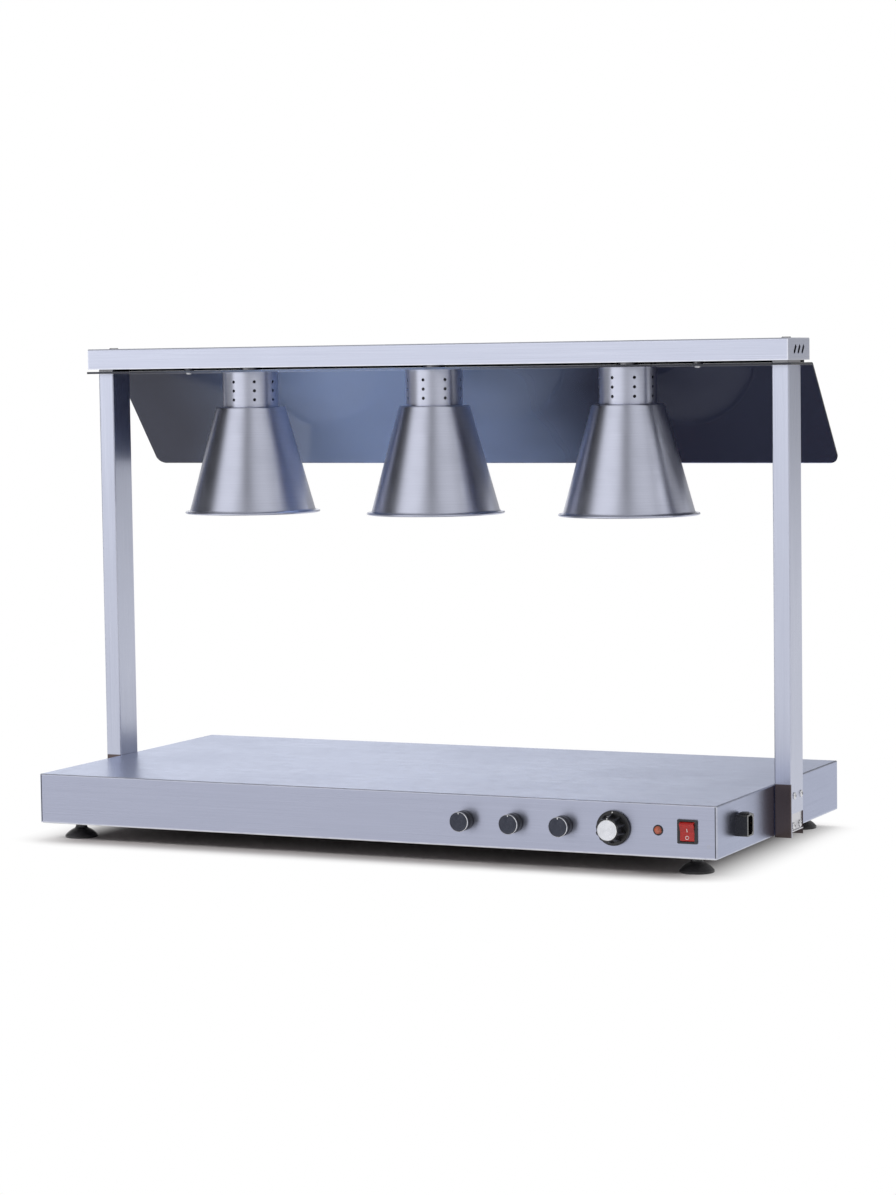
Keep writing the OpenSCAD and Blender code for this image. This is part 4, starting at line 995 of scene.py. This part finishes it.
@dataclass
class Controls(SubAssembly):
    """Front panel: lamp knobs, thermostat dial, indicator and rocker switch."""

    panel: float = -0.2325
    height: float = 0.0575
    knob_x: tuple[float, float, float] = (0.150, 0.220, 0.290)
    knob_rim: float = 12.55 * MM
    knob_reach: float = 20 * MM
    notch: Point = (1.3 * MM, 1.9 * MM, 0.42 * MM)
    notch_middle: float = 11.1 * MM
    notch_sunk: float = 0.02 * MM
    dial_x: float = 0.360
    dial_rim: float = 12.9 * MM
    skirt_front: float = 5.2 * MM
    skirt_up: float = 20.7 * MM
    skirt_mark: Point = (1.2 * MM, 2.0 * MM, 0.3 * MM)
    grip_front: float = 23.5 * MM
    grip_radius: float = 15.8 * MM
    grip_slope: float = 10.9
    grip_mark: Point = (1.0 * MM, 9.0 * MM, 0.3 * MM)
    crown_up: float = 14.65 * MM
    crown_mark: Point = (1.0 * MM, 1.9 * MM, 0.3 * MM)
    mark_corner: float = 0.2 * MM
    rocker_axis: Point = (0.4605, -0.2305, 0.0575)
    rocker_tilt: float = 10.0
    paddle_middle: float = 3.8 * MM
    paddle_slope: float = 11.7
    line_up: float = 2.7 * MM
    line: Point = (0.9 * MM, 5.0 * MM, 0.25 * MM)
    ring_down: float = 6.9 * MM
    ring: Point = (2.45 * MM, 1.8 * MM, 0.25 * MM)

    def looks(self) -> Looks:
        """Picks the finishes of the controls and what they turn.

        Returns:
            A finish for each of its CAD nodes.
        """
        black = Moulding(
            "knob_black", colour=(0.010, 0.010, 0.013), worn=(0.03, 0.03, 0.034), roughness=0.3, dust=0.03
        )
        shaft = PlainMetal("shaft_steel", roughness=0.2)
        found: Looks = {
            "thermostat_dial": black,
            "rocker_housing": black,
            "indicator_housing": black,
            "dial_cap": SpunSteel(
                "bright_cap",
                light=(0.80, 0.81, 0.85),
                deep=(0.56, 0.57, 0.62),
                roughness=0.24,
                rings=4200.0,
                centre=(self.dial_x, self.panel, self.height),
                facing=True,
                rim=self.dial_rim,
            ),
            "rocker_paddle": Moulding(
                "rocker_red", colour=(0.42, 0.008, 0.006), worn=(0.5, 0.02, 0.014), roughness=0.28, coat=0.1
            ),
            "indicator_lens": Moulding(
                "amber_lens", colour=(0.43, 0.09, 0.045), worn=(0.5, 0.13, 0.07), roughness=0.14, coat=0.4
            ),
            "thermostat_shaft": shaft,
            "thermostat": PlainMetal("nickel_plate", light=(0.62, 0.60, 0.55)),
            "dimmer_modules": CircuitBoard("dimmer_board"),
        }
        for side, x in zip(SIDES, self.knob_x):
            found[f"lamp_knob_{side}"] = black
            found[f"dimmer_shaft_{side}"] = shaft
            found[f"knob_cap_{side}"] = SpunSteel(
                f"dark_cap_{side}",
                light=(0.085, 0.09, 0.115),
                deep=(0.022, 0.025, 0.036),
                roughness=0.22,
                rings=5200.0,
                centre=(x, self.panel, self.height),
                facing=True,
                rim=self.knob_rim,
            )
        return found

    def fittings(self) -> None:
        """Adds the pointers and the rocker's signs."""
        self.knob_marks()
        self.dial_marks()
        self.rocker_marks()

    def knob_marks(self) -> None:
        """Fills the notch of each lamp knob with a white pointer."""
        paint = Moulding("pointer_white", colour=(0.80, 0.81, 0.84), worn=(0.62, 0.62, 0.64), dust=0.0)
        front = self.panel - self.knob_reach + self.notch[2] / 2 - self.notch_sunk
        for side, x in zip(SIDES, self.knob_x):
            shape = bmesh.new()
            place = facing_operator(x, front, self.height + self.notch_middle)
            raised_bar(shape, self.notch, place, 0.3 * MM)
            finish_piece(f"knob_pointer_{side}", shape, paint, f"knob_{side}")

    def dial_marks(self) -> None:
        """Adds the dial's pointer: on the skirt, down the grip and beside the cap."""
        paint = Moulding("dial_white", colour=(0.86, 0.86, 0.87), worn=(0.66, 0.66, 0.66), dust=0.0)
        middle = self.grip_mark[1] / 2
        rise = self.grip_radius + middle * math.tan(math.radians(self.grip_slope))
        grip_lean = 90.0 + self.grip_slope
        shape = bmesh.new()
        for size, front, up, lean in (
            (self.skirt_mark, self.skirt_front, self.skirt_up, 0.0),
            (self.crown_mark, self.grip_front, self.crown_up, 0.0),
            (self.grip_mark, self.grip_front - middle, rise, grip_lean),
        ):
            place = facing_operator(self.dial_x, self.panel - front, self.height + up, lean)
            raised_bar(shape, size, place, self.mark_corner)
        finish_piece("dial_pointer", shape, paint, "dial")

    def rocker_marks(self) -> None:
        """Adds the line and the ring that say on and off."""
        paint = Moulding("rocker_white", colour=(0.84, 0.80, 0.78), worn=(0.7, 0.6, 0.58), dust=0.0)
        shape = bmesh.new()
        tilt = Matrix.Rotation(math.radians(self.rocker_tilt), 4, "X")
        paddle = Matrix.Translation(self.rocker_axis) @ tilt
        slope = math.tan(math.radians(self.paddle_slope))
        front = -self.paddle_middle - self.line_up * slope
        line = facing_operator(0.0, front, self.line_up, -self.paddle_slope)
        raised_bar(shape, self.line, paddle @ line, self.mark_corner)
        front = -self.paddle_middle - self.ring_down * slope
        ring = facing_operator(0.0, front, -self.ring_down, self.paddle_slope)
        flat_ring(shape, *self.ring, paddle @ ring)
        finish_piece("rocker_signs", shape, paint, "rocker")


@dataclass
class PowerInlet(SubAssembly):
    """Mains inlet on the right side, with the terminals behind it."""

    hump: Point = (11 * MM, 12 * MM, 7 * MM)
    hump_centre: Point = (0.5075, -0.1515, 0.0708)
    hump_round: float = 2.6 * MM
    black: Moulding = Moulding(
        "inlet_black",
        colour=(0.007, 0.007, 0.01),
        worn=(0.02, 0.02, 0.024),
        roughness=0.26,
        coat=0.35,
        depth=0.006 * MM,
        dust=0.02,
    )

    def looks(self) -> Looks:
        """Picks the finishes of the inlet, its terminals and the wiring.

        Returns:
            A finish for each of its CAD nodes.
        """
        cream = Moulding("terminal_cream", colour=(0.78, 0.74, 0.62), worn=(0.66, 0.60, 0.46))
        return {
            "inlet_body": self.black,
            "inlet_pins": PlainMetal("pin_brass", light=BRASS, deep=DULL_BRASS),
            "terminal_block": cream,
            "wiring": Moulding("cable_cover", roughness=0.5),
        }

    def fittings(self) -> None:
        """Adds the rounded hump on top of the inlet's shroud."""
        shape = bmesh.new()
        place = Matrix.Translation(self.hump_centre) @ Matrix.Diagonal((*self.hump, 1.0))
        cube = bmesh.ops.create_cube(shape, size=1.0, matrix=place)
        ridges = {edge for vert in cube["verts"] for edge in vert.link_edges}
        top = [e for e in ridges if min(v.co.z for v in e.verts) > self.hump_centre[2]]
        bmesh.ops.bevel(
            shape, geom=top, offset=self.hump_round, affect="EDGES", segments=6, profile=0.5, material=-1
        )
        finish_piece("inlet_hump", shape, self.black, ROOT)


@dataclass
class Posts(SubAssembly):
    """Two posts with their anchors and screws."""

    centre: Point = (0.512, 0.0125, 0.333)
    half: Point = (0.012, 0.024, 0.312)
    # Top of the painted reflection that darkens the front of each post's foot
    painted_reflection_top: float = 0.0925

    def looks(self) -> Looks:
        """Picks the finishes of the posts and what holds them.

        Returns:
            A finish for each of its CAD nodes.
        """
        screw = PlainMetal("screw_steel", light=(0.7, 0.7, 0.72), roughness=0.2)
        found: Looks = {
            "post_anchors": PlainMetal("anchor_steel", light=(0.62, 0.62, 0.66), roughness=0.3),
            "post_screws": screw,
            "guard_screws": screw,
        }
        for side, sign in ENDS:
            found[f"post_{side}"] = SheetSteel(
                f"brushed_post_{side}",
                grain=Grain.ALONG_Z,
                centre=(sign * self.centre[0], *self.centre[1:]),
                half=self.half,
                edge=1.5 * MM,
                painted_reflection_top=self.painted_reflection_top,
            )
        return found


@dataclass
class Beam(SubAssembly):
    """Beam with its cover, end caps, bolts and spacers."""

    centre: Point = (0.0, 0.0125, 0.6658)
    half: Point = (0.5295, 0.044, 0.0146)
    slot_lean: float = 38.0
    slot_pitch: float = 16 * MM
    lip: Point = (12.5 * MM, 1.2 * MM, 1.5 * MM)
    lip_off: float = 2.5 * MM
    lip_round: float = 0.55 * MM
    strip: Point = (1.050, 4 * MM, 3.0 * MM)
    strip_centre: Point = (0.0, 0.0465, 0.6496)
    strip_round: float = 1.0 * MM

    def sheet(self) -> SheetSteel:
        """Returns the finish of the beam's sheet."""
        return SheetSteel("brushed_beam", side_grain=Grain.ALONG_Y, centre=self.centre, half=self.half)

    def looks(self) -> Looks:
        """Picks the finishes of the beam and what lies between it and the guard.

        Returns:
            A finish for each of its CAD nodes.
        """
        found: Looks = {
            "beam_bolts": PlainMetal("bolt_steel", roughness=0.25),
            "spacer_pads": PlainMetal("spacer_grey", light=(0.34, 0.34, 0.36)),
        }
        for name in ("beam_shell", "beam_cover", "end_cap_left", "end_cap_right"):
            found[name] = self.sheet()
        return found

    def fittings(self) -> None:
        """Adds the rolled lips of the slots, and the dark strip between beam and guard."""
        lean = math.radians(self.slot_lean)
        along = Vector((0.0, math.sin(lean), math.cos(lean)))
        across = Vector((0.0, math.cos(lean), -math.sin(lean)))
        for side, sign in ENDS:
            turned = Matrix((along, across, (sign, 0.0, 0.0))).transposed().to_4x4()
            shape = bmesh.new()
            for step in (-1, 0, 1):
                middle = Vector(self.centre) + Vector((sign * self.half[0], step * self.slot_pitch, 0.0))
                place = Matrix.Translation(middle + across * self.lip_off) @ turned
                raised_bar(shape, self.lip, place, self.lip_round)
            finish_piece(f"slot_lips_{side}", shape, self.sheet(), ROOT)
        shape = bmesh.new()
        raised_bar(shape, self.strip, Matrix.Translation(self.strip_centre), self.strip_round)
        felt = Moulding("felt_strip", colour=(0.03, 0.03, 0.035), worn=(0.05, 0.05, 0.055), roughness=0.9)
        finish_piece("gap_strip", shape, felt, ROOT)


@dataclass
class Guard(SubAssembly):
    """Bent, tinted guard behind the lamps."""

    def looks(self) -> Looks:
        """Returns the guard's finish."""
        return {"guard_panel": TintedSheet("tinted_guard")}


@dataclass
class Lamps(SubAssembly):
    """Three lamps: vented neck, spun shade, reflector bulb and holder."""

    lamp_x: tuple[float, float, float] = (-0.288, 0.0, 0.288)
    y: float = 0.0125

    def looks(self) -> Looks:
        """Picks the finishes of the lamps.

        Returns:
            A finish for each of its CAD nodes.
        """
        bulb = LampGlass("ruby_bulb")
        found: Looks = {
            "lampholders": Moulding(
                "white_china", colour=(0.80, 0.79, 0.75), worn=(0.72, 0.70, 0.64), roughness=0.15, coat=0.6
            ),
            "lamp_nipples": PlainMetal("nipple_brass", light=BRASS, deep=DULL_BRASS),
        }
        for side, x in zip(SIDES, self.lamp_x):
            spun = SpunSteel(f"spun_{side}", centre=(x, self.y, 0.0))
            found |= {f"lamp_neck_{side}": spun, f"lamp_shade_{side}": spun, f"heat_lamp_{side}": bulb}
        return found


# Studio


@dataclass
class PhotoCamera:
    """Camera at the photograph's viewing angle."""

    place: Point = (1.8720, -3.9801, 0.65129)
    yaw: float = 24.9235
    pitch: float = -4.1864
    roll: float = -0.8024
    focal_px: float = 3180.27
    long_side_px: float = 1195.0
    sensor: float = 36.0

    def build(self) -> bpy.types.Object:
        """Makes the camera.

        Returns:
            The camera's object.
        """
        yaw, pitch, roll = (math.radians(a) for a in (self.yaw, self.pitch, self.roll))
        flat = math.cos(pitch)
        ahead = Vector((-math.sin(yaw) * flat, math.cos(yaw) * flat, math.sin(pitch)))
        right = Vector((math.cos(yaw), math.sin(yaw), 0.0))
        up = right.cross(ahead)
        level, lean = math.cos(roll), math.sin(roll)
        turned = Matrix((level * right + lean * up, level * up - lean * right, -ahead)).transposed()
        data = bpy.data.cameras.new("photo_camera")
        data.sensor_width = self.sensor
        data.lens = self.focal_px / self.long_side_px * self.sensor
        data.clip_end = 50.0
        camera = bpy.data.objects.new("photo_camera", data)
        camera.matrix_world = Matrix.Translation(self.place) @ turned.to_4x4()
        bpy.context.scene.collection.objects.link(camera)
        bpy.context.scene.camera = camera
        return camera


@dataclass(frozen=True)
class PaleFloor(Finish):
    """Pale floor that keeps the shadow, deepens it near the station with a painted shadow colour, and turns
    white far from the station.
    """

    colour: Colour = (0.93, 0.93, 0.94)
    speckled: Colour = (0.9207, 0.9207, 0.9306)
    painted_shadow_tone: Colour = (0.6, 0.57, 0.57)
    half: Point = (0.43, 0.225, 0.0)
    reach: Point = (0.12, 0.07, 1.0)

    def dress(self, graph: Graph, shader: Node) -> None:
        """Mixes a diffuse floor with white, by distance and only where it is seen as background; where
        seen, the floor near the station is darkened as a painted shadow.

        Args:
            graph: The material's nodes.
            shader: The shader that they feed.
        """
        place = self.place(graph)
        flat = graph.vector("MULTIPLY", graph.vector("ABSOLUTE", place), (1.0, 1.0, 0.0))
        outside = graph.vector("MAXIMUM", graph.vector("SUBTRACT", flat, self.half), ORIGIN)
        away = graph.remap(graph.length(graph.vector("DIVIDE", outside, self.reach)), 0.0, 1.0)
        paths = graph.add("ShaderNodeLightPath").outputs
        seen = graph.calc("ADD", paths["Is Camera Ray"], paths["Is Glossy Ray"])
        seen = graph.calc("ADD", seen, paths["Is Transmission Ray"], clamp=True)
        specks = graph.noise(place, 14.0, 3.0)
        colour = self.shades(graph, specks, self.colour, self.speckled)
        # Painted shadow: where seen, the floor takes a darker colour so the shadow near the station reads
        # deeper
        colour = graph.blend(seen, colour, self.painted_shadow_tone)
        self.feed(graph, shader, {"Base Color": colour})
        self.fix(shader, {"Roughness": 0.9, "Specular IOR Level": 0.0})
        white = graph.add("ShaderNodeEmission", {"Color": (*WHITE, 1.0), "Strength": 1.0})
        share = graph.calc("MULTIPLY", away, seen)
        mixed = graph.add("ShaderNodeMixShader", {0: share, 1: shader.outputs[0], 2: white.outputs[0]})
        below = graph.add("ShaderNodeNewGeometry").outputs["Backfacing"]
        clear = graph.add("ShaderNodeBsdfTransparent")
        mixed = graph.add("ShaderNodeMixShader", {0: below, 1: mixed.outputs[0], 2: clear.outputs[0]})
        output = graph.tree.nodes["Material Output"]
        graph.tree.links.new(mixed.outputs[0], output.inputs["Surface"])


@dataclass(frozen=True)
class Strip:
    """Soft patch of the hall, bright or dim, by direction in degrees."""

    around: float
    above: float
    reach: float
    fade: float
    strength: float

    def toward(self) -> Point:
        """Returns the patch's direction; 0 around is the operator's side and 90 the operator's left."""
        around, above = math.radians(self.around), math.radians(self.above)
        return (-math.sin(around) * math.cos(above), -math.cos(around) * math.cos(above), math.sin(above))

    def inner(self) -> float:
        """Returns the cosine at which the patch is full."""
        return math.cos(math.radians(self.reach))

    def outer(self) -> float:
        """Returns the cosine at which the patch has faded away."""
        return math.cos(math.radians(self.reach + self.fade))


@dataclass(frozen=True)
class Softbox:
    """Square area lamp that metal doesn't mirror."""

    name: str
    place: Point
    aim: Point
    power: float
    size: float = 1.4

    def build(self) -> None:
        """Hangs the lamp and points it at its aim."""
        data = bpy.data.lights.new(self.name, "AREA")
        data.shape = "SQUARE"
        data.size = self.size
        data.energy = self.power
        lamp = bpy.data.objects.new(self.name, data)
        lamp.location = self.place
        lamp.visible_glossy = False
        ahead = Vector(self.aim) - Vector(self.place)
        lamp.rotation_euler = ahead.to_track_quat("-Z", "Y").to_euler()
        bpy.context.scene.collection.objects.link(lamp)


@dataclass
class Studio:
    """Plain pale floor, white surroundings and soft lamps."""

    floor_reach: float = 12.0
    ambient: float = 0.27
    horizon: float = 0.48
    ceiling: float = 0.2
    strips: tuple[Strip, ...] = (
        Strip(around=22.0, above=20.0, reach=12.0, fade=25.0, strength=1.05),
        Strip(around=40.0, above=0.0, reach=3.0, fade=9.0, strength=0.8),
        Strip(around=80.0, above=2.0, reach=16.0, fade=18.0, strength=-0.45),
        Strip(around=-54.0, above=32.0, reach=12.0, fade=22.0, strength=0.7),
        Strip(around=-99.0, above=24.0, reach=7.0, fade=14.0, strength=1.3),
        Strip(around=146.0, above=18.0, reach=5.0, fade=18.0, strength=1.25),
        Strip(around=-142.0, above=20.0, reach=4.0, fade=16.0, strength=0.75),
        Strip(around=0.0, above=90.0, reach=35.0, fade=17.0, strength=0.3),
    )
    softboxes: tuple[Softbox, ...] = (
        Softbox("key_light", place=(-2.1, -2.2, 2.6), aim=(0.0, 0.0, 0.3), power=80.0),
        Softbox("top_light", place=(-0.2, 1.1, 2.8), aim=(0.0, 0.0, 0.1), power=100.0),
    )

    def build(self) -> None:
        """Makes the floor, the surroundings and the lamps."""
        shape = bmesh.new()
        bmesh.ops.create_grid(shape, x_segments=1, y_segments=1, size=self.floor_reach)
        mesh = bpy.data.meshes.new("floor")
        shape.to_mesh(mesh)
        shape.free()
        mesh.materials.append(PaleFloor("pale_floor").material())
        floor = bpy.data.objects.new("floor", mesh)
        bpy.context.scene.collection.objects.link(floor)
        self.surroundings()
        for softbox in self.softboxes:
            softbox.build()

    def surroundings(self) -> None:
        """Makes the world white where it is seen, and a dim hall with bright strips in reflections."""
        world = bpy.data.worlds.new("surroundings")
        world.use_nodes = True
        bpy.context.scene.world = world
        graph = Graph(world.node_tree)
        background = world.node_tree.nodes["Background"]
        paths = graph.add("ShaderNodeLightPath").outputs
        toward = graph.add("ShaderNodeTexCoord").outputs["Generated"]
        hall = graph.remap(graph.parts(toward)[2], 0.05, 0.45, self.horizon, self.ceiling)
        for strip in self.strips:
            near = graph.remap(graph.dot(toward, strip.toward()), strip.outer(), strip.inner())
            hall = graph.calc("ADD", hall, graph.calc("MULTIPLY", near, strip.strength))
        hall = graph.calc("MAXIMUM", hall, 0.0)
        white = graph.calc("ADD", paths["Is Camera Ray"], paths["Is Transmission Ray"], clamp=True)
        lit = graph.pick(paths["Is Glossy Ray"], self.ambient, hall)
        graph.tree.links.new(graph.pick(white, lit, 1.0), background.inputs["Strength"])
        background.inputs["Color"].default_value = (*WHITE, 1.0)


def main() -> None:
    """Builds the whole scene around the frame."""
    logging.basicConfig(level=logging.INFO, format="%(message)s")
    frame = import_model()
    PhotoCamera().build()
    for part in (Base(), Feet(), Controls(), PowerInlet(), Posts(), Beam(), Guard(), Lamps()):
        part.build(frame)
    Studio().build()
    bpy.context.scene.view_settings.view_transform = "Standard"
    bpy.context.view_layer.update()


if __name__ == "__main__":
    main()
